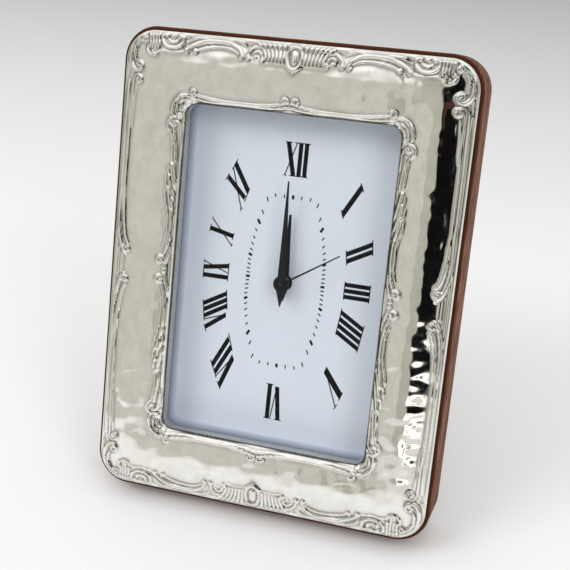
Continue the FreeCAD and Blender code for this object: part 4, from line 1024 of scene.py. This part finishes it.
def make_wood():
    """The section swept round a rounded rectangle: x = s (half - inset - r) + r cos a, and z likewise."""
    inset, deep = wood_section().T[..., None]
    radius = np.maximum(WOOD_CORNER - inset, LEAST_CORNER)
    angle = np.concatenate([math.pi / 2 * (q + np.linspace(0, 1, CORNER_STATIONS)) for q in range(4)])
    side_x, side_z = np.repeat([(1, 1), (-1, 1), (-1, -1), (1, -1)], CORNER_STATIONS, 0).T
    x = side_x * (WOOD_HALF[0] - inset - radius) + radius * np.cos(angle)
    z = side_z * (WOOD_HALF[1] - inset - radius) + radius * np.sin(angle)
    points = stand(np.stack([x, np.broadcast_to(deep, x.shape), z], -1))
    points[..., 2] = np.maximum(points[..., 2], 0.0)
    quads = grid_quads(*points.shape[:2], wrap_rows=True, wrap_columns=True)
    obj = add_mesh("wood_frame_moulding", points, quads, FINISH["mahogany"], "clock", True, ["wood_frame"])
    # painted shade: 1 on the front edge beside the silver, where the wood is coloured darker
    clear, end = EDGE_SHADE_FADE
    edge_shading = np.where(deep < EDGE_SHADE_SIDE, np.clip((end - deep) / (end - clear), 0, 1), 0)
    mark_points(obj, "painted_edge_shade", edge_shading * np.ones(x.shape))
    return outward(obj)


print("wood faces", len(make_wood().data.polygons))

# %% [markdown]
# ## The printed dial
#
# The dial is printed card or metal in a bluish white. The numerals are bold, narrow Roman capitals that
# stand on a rectangular track, so their serifs follow the sides of the rectangle and not a circle. Sixty
# short dashes lie on a tall barrel-shaped track.
#
# Type could be set from a font and bent. The real numerals are skewed one by one, so each is drawn here
# from its few strokes: a thick or thin bar between two ends, cut off along the serif line, and the serifs
# themselves.

# %% Numerals
THICK, THIN, SERIF = 2.0, 0.5, 0.45
LEAST_SLANT = 0.3  # keeps the cut of a bar that runs nearly along its serif from growing without end
# Each numeral: its serif direction in degrees, its bars (outer end, inner end, width) and its serif lines
NUMERALS = {
    "XII": (0, [((-4.3, 61.2), (-1.0, 47.0), THICK), ((-0.4, 61.2), (-4.8, 47.0), THIN),
                ((1.4, 61.2), (1.4, 47.0), 1.9), ((4.0, 61.2), (4.0, 47.0), 1.9)],
            [((-5.6, 61.3), (-2.6, 61.3)), ((-1.4, 61.3), (5.6, 61.3)), ((-5.4, 46.9), (-4.0, 46.9)),
             ((-2.8, 46.9), (5.5, 46.9))]),
    "I": (-70, [((30.0, 45.7), (22.8, 33.0), 2.2)],
          [((29.4, 47.5), (31.0, 43.8)), ((22.0, 34.9), (23.3, 31.2))]),
    "II": (-84, [((37.5, 21.9), (26.4, 16.0), 2.0), ((37.9, 18.8), (26.8, 12.9), 2.0)],
           [((37.3, 23.8), (38.0, 17.0)), ((26.1, 17.8), (27.0, 11.2))]),
    "III": (-90,
            [((38.5, 2.7), (27.3, 2.7), 1.9), ((38.5, 0), (27.3, 0), 1.9), ((38.5, -2.7), (27.3, -2.7), 1.9)],
            [((38.6, 4.1), (38.6, -4.1)), ((27.2, 4.1), (27.2, -4.1))]),
    "IIII": (-97, [((37.4, -16.1), (26.9, -9.8), 1.9), ((36.9, -19.1), (26.6, -12.9), 1.9),
                   ((36.5, -22.1), (26.2, -15.9), 1.9), ((36.0, -25.1), (25.8, -18.9), 1.9)],
             [((37.8, -14.2), (35.8, -26.7)), ((27.1, -8.1), (25.5, -20.2))]),
    "V": (-107, [((30.9, -47.9), (22.5, -36.8), 2.7), ((28.8, -53.0), (22.6, -36.6), THIN)],
          [((31.5, -45.8), (30.1, -49.9)), ((29.5, -51.8), (28.4, -54.2))]),
    "VI": (180, [((-2.2, -63.9), (-2.1, -48.1), THICK), ((2.9, -64.0), (1.3, -48.6), THICK),
                 ((-0.8, -63.6), (1.2, -48.6), THIN)],
           [((-3.8, -47.9), (-0.5, -47.9)), ((-3.9, -64.0), (-0.3, -64.0)), ((1.1, -64.1), (4.6, -64.1))]),
    "VII": (114, [((-26.4, -53.0), (-20.8, -38.4), 2.1), ((-28.2, -48.6), (-20.9, -38.4), THIN),
                  ((-28.9, -46.8), (-22.2, -33.9), 2.0), ((-30.4, -43.6), (-23.6, -30.2), 2.0)],
            [((-23.9, -27.7), (-21.5, -35.6)), ((-31.5, -41.5), (-28.0, -49.5)),
             ((-27.5, -51.0), (-25.7, -54.5))]),
    "VIII": (97, [((-35.6, -26.6), (-26.0, -19.4), 2.0), ((-36.1, -22.9), (-26.1, -19.3), THIN),
                  ((-36.5, -21.4), (-25.9, -15.2), 1.9), ((-36.9, -18.5), (-26.2, -12.4), 1.9),
                  ((-37.3, -15.7), (-26.5, -9.6), 1.9)],
             [((-37.5, -14.0), (-36.2, -23.8)), ((-36.0, -25.4), (-34.9, -28.5)),
              ((-26.7, -7.9), (-25.7, -17.0))]),
    "IX": (90, [((-38.4, -2.4), (-26.8, -2.3), THICK), ((-38.3, 1.1), (-26.8, 3.0), THICK),
                ((-38.3, 3.9), (-27.0, -0.2), THIN)],
           [((-38.5, -4.1), (-38.4, 2.5)), ((-38.4, 3.2), (-38.3, 4.5)), ((-26.7, -4.0), (-26.6, 4.5))]),
    "X": (80, [((-36.8, 19.2), (-25.8, 16.8), THICK), ((-36.0, 23.5), (-26.4, 12.7), THIN)],
          [((-36.6, 20.9), (-37.1, 17.6)), ((-36.4, 24.4), (-35.5, 22.6)), ((-25.5, 18.4), (-26.1, 15.1)),
           ((-26.0, 13.4), (-26.3, 12.0))]),
    "XI": (67, [((-30.5, 43.0), (-22.0, 34.5), THICK), ((-28.5, 47.3), (-23.2, 29.2), THIN),
                ((-27.6, 49.2), (-20.7, 37.6), 2.1)],
           [((-31.6, 41.3), (-30.1, 44.6)), ((-28.9, 46.4), (-26.8, 51.2)), ((-22.1, 32.8), (-20.1, 39.0)),
            ((-23.7, 28.5), (-22.8, 30.2))]),
}


def bar_outline(outer, inner, width, degrees):
    """A bar whose ends are cut along the serif direction. width is its thickness across, so half of a cut is
    width / (2 |run x cut|) long."""
    outer, inner = np.array(outer, float), np.array(inner, float)
    cut = np.array([math.cos(math.radians(degrees)), math.sin(math.radians(degrees))])
    run = (outer - inner) / np.linalg.norm(outer - inner)
    half = cut * width / 2 / max(abs(run[0] * cut[1] - run[1] * cut[0]), LEAST_SLANT)
    return [outer - half, outer + half, inner + half, inner - half]


def line_outline(start, end, width):
    """A straight line of a width: its ends moved by half the width to both sides."""
    start, end = np.array(start, float), np.array(end, float)
    run = (end - start) / np.linalg.norm(end - start)
    side = np.array([-run[1], run[0]]) * width / 2
    return [start - side, end - side, end + side, start + side]


def numeral_outlines():
    """The bars and the serifs of all twelve numerals."""
    bars = [bar_outline(*bar, degrees) for degrees, bars, _ in NUMERALS.values() for bar in bars]
    return bars + [line_outline(*ends, SERIF) for _, _, serifs in NUMERALS.values() for ends in serifs]


print("outlines of the numerals", len(numeral_outlines()))

# %% Minute track
# Distance of the track from the centre, for the minutes from twelve to three o'clock
TRACK = [37.6, 37.8, 38.4, 37.2, 32.3, 28.9, 26.2, 23.9, 22.2, 20.8, 19.7, 18.9, 18.1, 17.7, 17.4, 17.3]
FOOT_OF_TRACK = 1.2  # how much further the track reaches below the centre than above it
DASH_HALF, DASH_WIDE = 0.78, 0.55
FIFTH_HALF, FIFTH_WIDE = 0.9, 1.1  # every fifth dash is bolder
SLANTING, SLANT_STRETCH = (3, 4, 5), 1.35  # minutes from twelve or six whose dashes are longer


def track_outlines():
    """Sixty dashes that point at the centre, at a distance that grows a little towards six o'clock."""
    outlines = []
    for minute in range(60):
        quarter = minute % 30 if minute % 30 <= 15 else 30 - minute % 30
        below = 15 < minute < 45
        distance = TRACK[quarter] + (FOOT_OF_TRACK * (1 - quarter / 15) if below else 0)
        angle = math.radians(6 * minute)
        out = np.array([math.sin(angle), math.cos(angle)])
        mid = distance * out
        half, wide = (FIFTH_HALF, FIFTH_WIDE) if minute % 5 == 0 else (DASH_HALF, DASH_WIDE)
        reach = half * (SLANT_STRETCH if quarter in SLANTING else 1.0) * out
        outlines.append(line_outline(mid - reach, mid + reach, wide))
    return outlines


print("dashes", len(track_outlines()))

# %% Print on the dial
DIAL_FACE = 14.8  # depth of the printed face
CENTRE_Z = -1.0  # height of the centre of the hands
PRINT_PLACE = (-0.45, CENTRE_Z)  # the print sits a little left of the hands
INK_BACK, INK_FRONT = 0.02, 0.03  # how far the marks reach into the dial and stand out of it
PRISM = np.array([(0, 1, 2, 3), (7, 6, 5, 4), (0, 4, 5, 1), (1, 5, 6, 2), (2, 6, 7, 3), (3, 7, 4, 0)])


def prisms(flat, front, back):
    """Points and faces of prisms between two depths, from outlines of four points each, (n, 4, 2)."""
    points = np.zeros((len(flat), 2, 4, 3))
    points[..., 0], points[..., 2] = flat[:, None, :, 0], flat[:, None, :, 1]
    points[..., 1] = np.array([front, back])[None, :, None]
    return stand(points), (PRISM[None] + 8 * np.arange(len(flat))[:, None, None]).reshape(-1, 4)


def make_print():
    """All the printed marks as thin prisms on the face of the dial, in one piece."""
    flat = np.array(numeral_outlines() + track_outlines()) + PRINT_PLACE
    points, faces = prisms(flat, DIAL_FACE - INK_FRONT, DIAL_FACE + INK_BACK)
    obj = add_mesh("dial_print", points, faces, FINISH["print_ink"], "clock", False, ())
    return outward(obj)


print("faces of the print", len(make_print().data.polygons))

# %% [markdown]
# ## Hands
#
# Stamped from thin black sheet. The hour and minute hands are alike: a round hub, a blade that tapers to a
# blunt end, and a short pointed tail. The second hand is a straight needle. Each sits on its own pipe at
# its own height, and rides on the body that turns it. An outline given a thickness and broken edges is all
# that a stamped piece needs.

# %% Outlines of the hands
HUB = 3.6  # radius of the hubs of the hour and minute hands
HUB_STATIONS = 22
NEEDLE_ROOT, NEEDLE_TIP, NEEDLE_LONG = 0.45, 0.27, 29.9  # half widths and length of the second hand
NEEDLE_START = 0.85  # where the needle leaves its round middle, of radius 1
MIDDLE_FROM, MIDDLE_STATIONS = 28, 30  # degrees from which the round middle runs, and its points


def hand_outline(length, root, tip, tail, tail_half):
    """A blade that tapers from the half width root to tip, the hub's arcs, and a pointed tail, as one
    outline. The hub's arcs start where the blade's root and the tail meet it, at asin(half / radius)."""
    blade = math.degrees(math.asin(root / HUB))
    low = math.degrees(math.asin(tail_half / HUB))
    angle = np.radians(np.linspace(blade, 180 - low, HUB_STATIONS))
    right = [(tip, length)] + list(zip(HUB * np.sin(angle), HUB * np.cos(angle))) + [(0.15, -tail)]
    return right + [(-x, z) for x, z in reversed(right)]


def needle_outline():
    """A narrow taper and a disc of radius 1 round the centre, as one outline."""
    needle = [(-NEEDLE_ROOT, NEEDLE_START), (-NEEDLE_TIP, NEEDLE_LONG), (NEEDLE_TIP, NEEDLE_LONG),
              (NEEDLE_ROOT, NEEDLE_START)]
    angle = np.radians(np.linspace(MIDDLE_FROM, 360 - MIDDLE_FROM, MIDDLE_STATIONS))
    return needle + [(math.sin(a), math.cos(a)) for a in angle]


HOUR = hand_outline(30.2, 1.8, 0.5, 8.5, 1.7)
MINUTE = hand_outline(45.2, 1.8, 0.3, 10.2, 2.1)
NEEDLE = needle_outline()
print("points of the outlines", len(HOUR), len(MINUTE), len(NEEDLE))

# %% Hands and their collets
SHEET, NEEDLE_SHEET = 0.4, 0.3  # thickness of the hands
# Name, outline, distance before the dial, thickness, degrees clockwise from twelve, body, node, broken edge
HANDS = (("hour_hand_blade", HOUR, 2.6, SHEET, -0.25, "hour_group", "hour_hand", 0.08),
         ("minute_hand_blade", MINUTE, 7.5, SHEET, -1.4, "minute_group", "minute_hand", 0.08),
         ("second_hand_needle", NEEDLE, 8.6, NEEDLE_SHEET, 57, "second_group", "second_hand", 0.04))
# Pipes and bosses: name, radius, front and back before the dial, body
COLLETS = (("hour_hand_collet", 3.1, 2.2, 1.4, "hour_group"),
           ("minute_hand_collet", 2.2, 7.1, 6.3, "minute_group"),
           ("minute_hand_boss", 2.3, 7.65, 7.4, "minute_group"),
           ("second_hand_collet", 0.9, 8.3, 7.7, "second_group"))


def plate_faces(count):
    """Faces of a prism whose two outlines follow each other in the list of points."""
    sides = [(k, (k + 1) % count, count + (k + 1) % count, count + k) for k in range(count)]
    return [tuple(range(count)), tuple(range(2 * count - 1, count - 1, -1))] + sides


def add_hand(name, outline, before, thickness, degrees, body, replaced, edge):
    """A flat hand a distance before the dial, turned clockwise by degrees: (x, z) goes to
    (x cos a + z sin a, z cos a - x sin a)."""
    a = math.radians(degrees)
    flat = np.array(outline) @ np.array([[math.cos(a), -math.sin(a)], [math.sin(a), math.cos(a)]])
    points = np.zeros((2, len(flat), 3))
    points[..., 0], points[..., 2] = flat[:, 0], flat[:, 1] + CENTRE_Z
    points[0, :, 1], points[1, :, 1] = DIAL_FACE - before, DIAL_FACE - before + thickness
    obj = add_mesh(name, stand(points), plate_faces(len(flat)), FINISH["black_hand"], body, False, [replaced])
    return rounded(outward(obj), edge)


for hand in HANDS:
    add_hand(*hand)
for name, radius, front, back, body in COLLETS:
    points, faces = lathe([(radius, -front), (radius, -back)], stand([0, DIAL_FACE, CENTRE_Z]), INWARD)
    rounded(outward(add_mesh(name, points, faces, FINISH["black_hand"], body, False, ())), 0.1)
print("hands and collets", len(HANDS) + len(COLLETS))

# %% [markdown]
# ## The back
#
# What nobody looks at is plain: a stained board held by four brass turn buttons, a black quartz movement in
# its window, and a wooden leg on a butt hinge. The solids already have these shapes, so most keep their own
# mesh and get a finish and a broken edge. Round things that show get a finer mesh.

# %% Edges of the plain pieces
WELD_REACH = 0.00001  # metres between corners that are one and the same
EDGES = {"back_panel": 0.25, "strut_leg": 0.6, "movement_rear_case": 0.35, "movement_front_case": 0.2,
         "hinge_fixed_leaf": 0.1, "hinge_moving_leaf": 0.1, "turn_button_upper_left": 0.2,
         "turn_button_upper_right": 0.2, "turn_button_lower_left": 0.2, "turn_button_lower_right": 0.2}


def soften(name, width):
    """Weld the imported corners of a solid, then break its edges."""
    obj = frame["nodes"][name]
    weld = obj.modifiers.new("weld", "WELD")
    weld.merge_threshold = WELD_REACH
    rounded(obj, width)


for name, width in EDGES.items():
    soften(name, width)
print("pieces with broken edges", len(EDGES))

# %% [markdown]
# ## Turned fittings
#
# The screws of the turn buttons, the setting knob and the dry cell are round and lie open at the back, so
# they are turned in finer mesh than the solids have. Each is one profile swept round its axis: a cheap way
# that keeps the edges crisp. The slots of the screws are not cut: a thin black bar laid on each head
# stands for one, and its dark is painted shade.

# %% Screws of the turn buttons
SCREW_X, SCREW_Z, HEAD_SEAT, HEAD_TOP = 55.5, 44.0, 27.7, 28.7
SCREW_PLACES = ((SCREW_X, SCREW_Z), (-SCREW_X, SCREW_Z), (-SCREW_X, -SCREW_Z), (SCREW_X, -SCREW_Z))
SCREW_PROFILE = [(1.2, 17.6), (1.2, HEAD_SEAT), (2.3, HEAD_SEAT), (2.4, HEAD_SEAT + 0.15),
                 (2.4, HEAD_TOP - 0.35), (2.25, HEAD_TOP - 0.1), (1.95, HEAD_TOP)]
SLOT_TURNS = (20, -35, 75, 5)  # how far each screw happens to be turned, in degrees
SLOT_HALF_LONG, SLOT_HALF_WIDE = 1.85, 0.28


def slot_outline(place, degrees):
    """A rectangle round a place, turned by an angle: its corners are place +- long +- wide."""
    a = math.radians(degrees)
    long = np.array([math.cos(a), math.sin(a)]) * SLOT_HALF_LONG
    wide = np.array([-math.sin(a), math.cos(a)]) * SLOT_HALF_WIDE
    return np.array([-long - wide, long - wide, long + wide, -long + wide]) + place


def make_button_screws():
    """Four turned screws in one piece, and in another four thin black bars laid on the heads, painted shade
    that stands for their slots.
    """
    points, faces = [], []
    for x, z in SCREW_PLACES:
        some, these = lathe(SCREW_PROFILE, stand([x, 0, z]), INWARD)
        faces += [tuple(v + len(points) for v in f) for f in these]
        points += some.tolist()
    screws = outward(add_mesh("button_screws_turned", points, faces, FINISH["brass"], "clock", False,
                              ["turn_button_screws"]))
    rounded(screws, 0.05, 1)
    # painted shade: black bars on the heads stand for the slots
    flat = np.array([slot_outline(*pair) for pair in zip(SCREW_PLACES, SLOT_TURNS)])
    points, faces = prisms(flat, HEAD_TOP - 0.1, HEAD_TOP + 0.015)
    outward(add_mesh("screw_slots_painted_shade", points, faces, FINISH["black_case"], "clock", False, ()))


make_button_screws()
print("screws", len(SCREW_PLACES))

# %% Setting knob and dry cell
KNOB_PROFILE = [(5.5, -1.75), (5.9, -1.6), (6.0, -1.3), (6.0, 1.1), (5.85, 1.5), (5.5, 1.75), (4.6, 1.75),
                (4.3, 1.55), (1.0, 1.5)]
KNOB_RIBS, KNOB_RIB_DEPTH = 24, 0.45
CELL_PROFILE = [(6.0, -25.25), (6.7, -25.2), (7.05, -24.9), (7.1, -24.5), (7.1, 23.0), (7.0, 23.5),
                (6.5, 23.8), (5.6, 23.9), (3.2, 23.95), (2.75, 24.05), (2.75, 24.95), (2.5, 25.25)]


def middle_of(name):
    """The middle of a node's box, in metres."""
    low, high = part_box(name)
    return (np.array(low) + np.array(high)) / 2


def make_knob():
    """The finger knob: a turned disc whose rim is ribbed, six points to each rib."""
    points, faces = lathe(KNOB_PROFILE, middle_of("setting_knob"), INWARD, 6 * KNOB_RIBS, KNOB_RIBS,
                          KNOB_RIB_DEPTH)
    return outward(add_mesh("setting_knob_ribbed", points, faces, FINISH["black_knob"], "setting_group", True,
                            ["setting_knob"]))


def make_cell():
    """The dry cell, turned about the clock's x, with its plus cap at the right."""
    points, faces = lathe(CELL_PROFILE, middle_of("battery_cell"), ACROSS, 64)
    return outward(add_mesh("battery_cell_turned", points, faces, FINISH["cell_jacket"], "cell", True,
                            ["battery_cell"]))


print("faces of knob and cell", len(make_knob().data.polygons), len(make_cell().data.polygons))

# %% [markdown]
# ## Light, ground and camera
#
# A polished sheet shows nothing but its surroundings, so these are what makes it look like silver. An
# object of mirrors is lit as in a product studio: a warm grey dome below, a white one above, a white
# ground, and upright cards of black, grey and white that only the mirrors see. The swelling band picks each
# card up as a stripe.

# %% Ground
# Corners of the ground in metres, seen from above
GROUND_PLAN = ((-0.35, -1.2, 0), (2.5, -1.2, 0), (4, 6.0, 0), (-4, 6.0, 0), (-0.35, -0.05, 0))
# painted shade: the ground's grey far off and just in front stands for light falling off
GROUND_NEAR, GROUND_FAR_PAINTED_SHADE, GROUND_FRONT_PAINTED_SHADE = (0.81, 0.81, 0.82), (0.42, 0.43, 0.43), (0.60, 0.60, 0.59)


def make_ground():
    """The white ground, a flat sheet whose colour greys towards its far end and a little right in front:
    painted shade for the light falling off.
    """
    mesh = bpy.data.meshes.new("ground_sheet")
    mesh.from_pydata(GROUND_PLAN, [], [tuple(range(len(GROUND_PLAN)))])
    made, tree, shader = new_material("ground_white", (0.80, 0.80, 0.80), 0.9, Specular_IOR_Level=0.1)
    place = node(tree, "ShaderNodeTexCoord")
    split = node(tree, "ShaderNodeSeparateXYZ")
    far = node(tree, "ShaderNodeMapRange", in_From_Min=0.22, in_From_Max=0.95)
    near = node(tree, "ShaderNodeMapRange", in_From_Min=-0.15, in_From_Max=-0.45)
    link(tree, place.outputs["Object"], split.inputs["Vector"])
    link(tree, split.outputs["Y"], far.inputs["Value"])
    link(tree, split.outputs["Y"], near.inputs["Value"])
    paper = two_tone(tree, far.outputs["Result"], GROUND_NEAR, GROUND_FAR_PAINTED_SHADE, shader.inputs["Base Color"])
    tint(tree, near.outputs["Result"], paper, GROUND_FRONT_PAINTED_SHADE, shader.inputs["Base Color"])
    mesh.materials.append(made)
    obj = bpy.data.objects.new("ground_sheet", mesh)
    scene.collection.objects.link(obj)


make_ground()
print("corners of the ground", len(GROUND_PLAN))

# %% Cards for the mirrors
# Name, azimuth in degrees, width, low and high edge and distance in metres, colour, glow
CARDS = (("card_dark_tall", 13.5, 0.42, 0.108, 1.5, 1.3, (0.004, 0.004, 0.005), 0.0),
         ("card_bright_low", 12.5, 0.42, 0.01, 0.11, 1.4, (0.9, 0.9, 0.88), 0.9),
         ("card_dark_gap_left", 9.0, 0.06, 0.068, 0.09, 1.25, (0.02, 0.018, 0.016), 0.0),
         ("card_dark_spot", 13.0, 0.05, 0.03, 0.055, 1.25, (0.01, 0.01, 0.012), 0.0),
         ("card_dark_gap_right", 16.5, 0.05, 0.05, 0.072, 1.25, (0.02, 0.02, 0.02), 0.0),
         ("card_brown_high", 10.5, 0.10, 0.50, 0.74, 1.25, (0.10, 0.045, 0.03), 0.0),
         ("card_grey_front", -2.3, 0.40, 0.02, 1.8, 1.7, (0.575, 0.57, 0.525), 0.0),
         ("card_dark_right", 50.0, 0.30, -0.1, 1.4, 1.8, (0.02, 0.02, 0.022), 0.0),
         ("card_dark_left", -75.0, 0.30, -0.1, 1.4, 1.8, (0.30, 0.295, 0.275), 0.0))


def make_card(name, azimuth, width, low, high, distance, color, glow):
    """An upright card that only mirrors see. Azimuth 0 is straight in front, and grows to the right."""
    azimuth = math.radians(azimuth)
    centre = Vector((math.sin(azimuth), -math.cos(azimuth), 0)) * distance
    side = Vector((math.cos(azimuth), math.sin(azimuth), 0)) * width / 2
    left, right = centre - side, centre + side
    low, high = Vector((0, 0, low)), Vector((0, 0, high))
    mesh = bpy.data.meshes.new(name)
    mesh.from_pydata([left + low, right + low, right + high, left + high], [], [(0, 1, 2, 3)])
    made, tree, shader = new_material(name, color, 1.0, Specular_IOR_Level=0.0, Emission_Strength=glow,
                                      Emission_Color=(*color, 1))
    mesh.materials.append(made)
    obj = bpy.data.objects.new(name, mesh)
    obj.visible_camera = obj.visible_diffuse = obj.visible_shadow = obj.visible_transmission = False
    scene.collection.objects.link(obj)


for card in CARDS:
    make_card(*card)
print("cards", len(CARDS))

# %% Dome
DOME_BELOW, DOME_ABOVE = (0.613, 0.609, 0.557), (1.12, 1.12, 1.12)
DOME_CHANGE = (0.52, 0.66)  # heights on the unit sphere between which the dome changes its colour


def make_world():
    """The dome round the clock, beige below and white above, which lights it and shows in its mirrors."""
    world = bpy.data.worlds.new("dome")
    scene.world = world
    world.use_nodes = True
    tree = world.node_tree
    back = tree.nodes["Background"]
    place = node(tree, "ShaderNodeTexCoord")
    split = node(tree, "ShaderNodeSeparateXYZ")
    rise = node(tree, "ShaderNodeMapRange", in_From_Min=DOME_CHANGE[0], in_From_Max=DOME_CHANGE[1])
    link(tree, place.outputs["Generated"], split.inputs["Vector"])
    link(tree, split.outputs["Z"], rise.inputs["Value"])
    two_tone(tree, rise.outputs["Result"], DOME_BELOW, DOME_ABOVE, back.inputs["Color"])
    back.inputs["Strength"].default_value = 1.0


make_world()
print("dome", DOME_BELOW, DOME_ABOVE)

# %% Lamps
# Name, place, target, size in metres, power in watts, colour
LAMPS = (("softbox_left", (-1.1, -1.0, 1.5), (0, 0, 0.1), 0.9, 10.5, (1, 1, 1)),
         ("softbox_right", (1.3, -1.2, 1.2), (0, 0, 0.05), 0.8, 9.0, (0.97, 0.985, 1.0)))


def make_lamp(name, place, target, size, power, color):
    """A square soft lamp that looks at its target and doesn't show in mirrors."""
    lamp = bpy.data.lights.new(name, "AREA")
    lamp.size = size
    lamp.energy = power
    lamp.color = color
    obj = bpy.data.objects.new(name, lamp)
    obj.location = place
    obj.rotation_euler = (Vector(target) - Vector(place)).to_track_quat("-Z", "Y").to_euler()
    obj.visible_glossy = False
    scene.collection.objects.link(obj)


for lamp in LAMPS:
    make_lamp(*lamp)
print("lamps", [lamp[0] for lamp in LAMPS])

# %% Camera
CAMERA_AZIMUTH, CAMERA_ELEVATION, CAMERA_DISTANCE = math.radians(17.8), math.radians(29.04), 0.4804
LENS, SENSOR, SHIFT = 70.48, 36.0, 0.0153


def make_camera():
    """Back from the clock along the line of sight of the photograph, with the lens that fits its
    perspective. The direction is (sin a cos e, -cos a cos e, sin e)."""
    level = math.cos(CAMERA_ELEVATION)
    back = Vector((math.sin(CAMERA_AZIMUTH) * level, -math.cos(CAMERA_AZIMUTH) * level,
                   math.sin(CAMERA_ELEVATION)))
    camera = bpy.data.cameras.new("camera")
    camera.lens, camera.sensor_width, camera.shift_x = LENS, SENSOR, SHIFT
    camera.clip_start, camera.clip_end = 0.01, 50
    obj = bpy.data.objects.new("camera", camera)
    obj.location = Vector(ORIGIN) + back * CAMERA_DISTANCE
    obj.rotation_euler = (-back).to_track_quat("-Z", "Y").to_euler()
    scene.collection.objects.link(obj)
    scene.camera = obj


make_camera()
scene.view_settings.view_transform = "Standard"
print("camera at", [round(c, 3) for c in scene.camera.location])
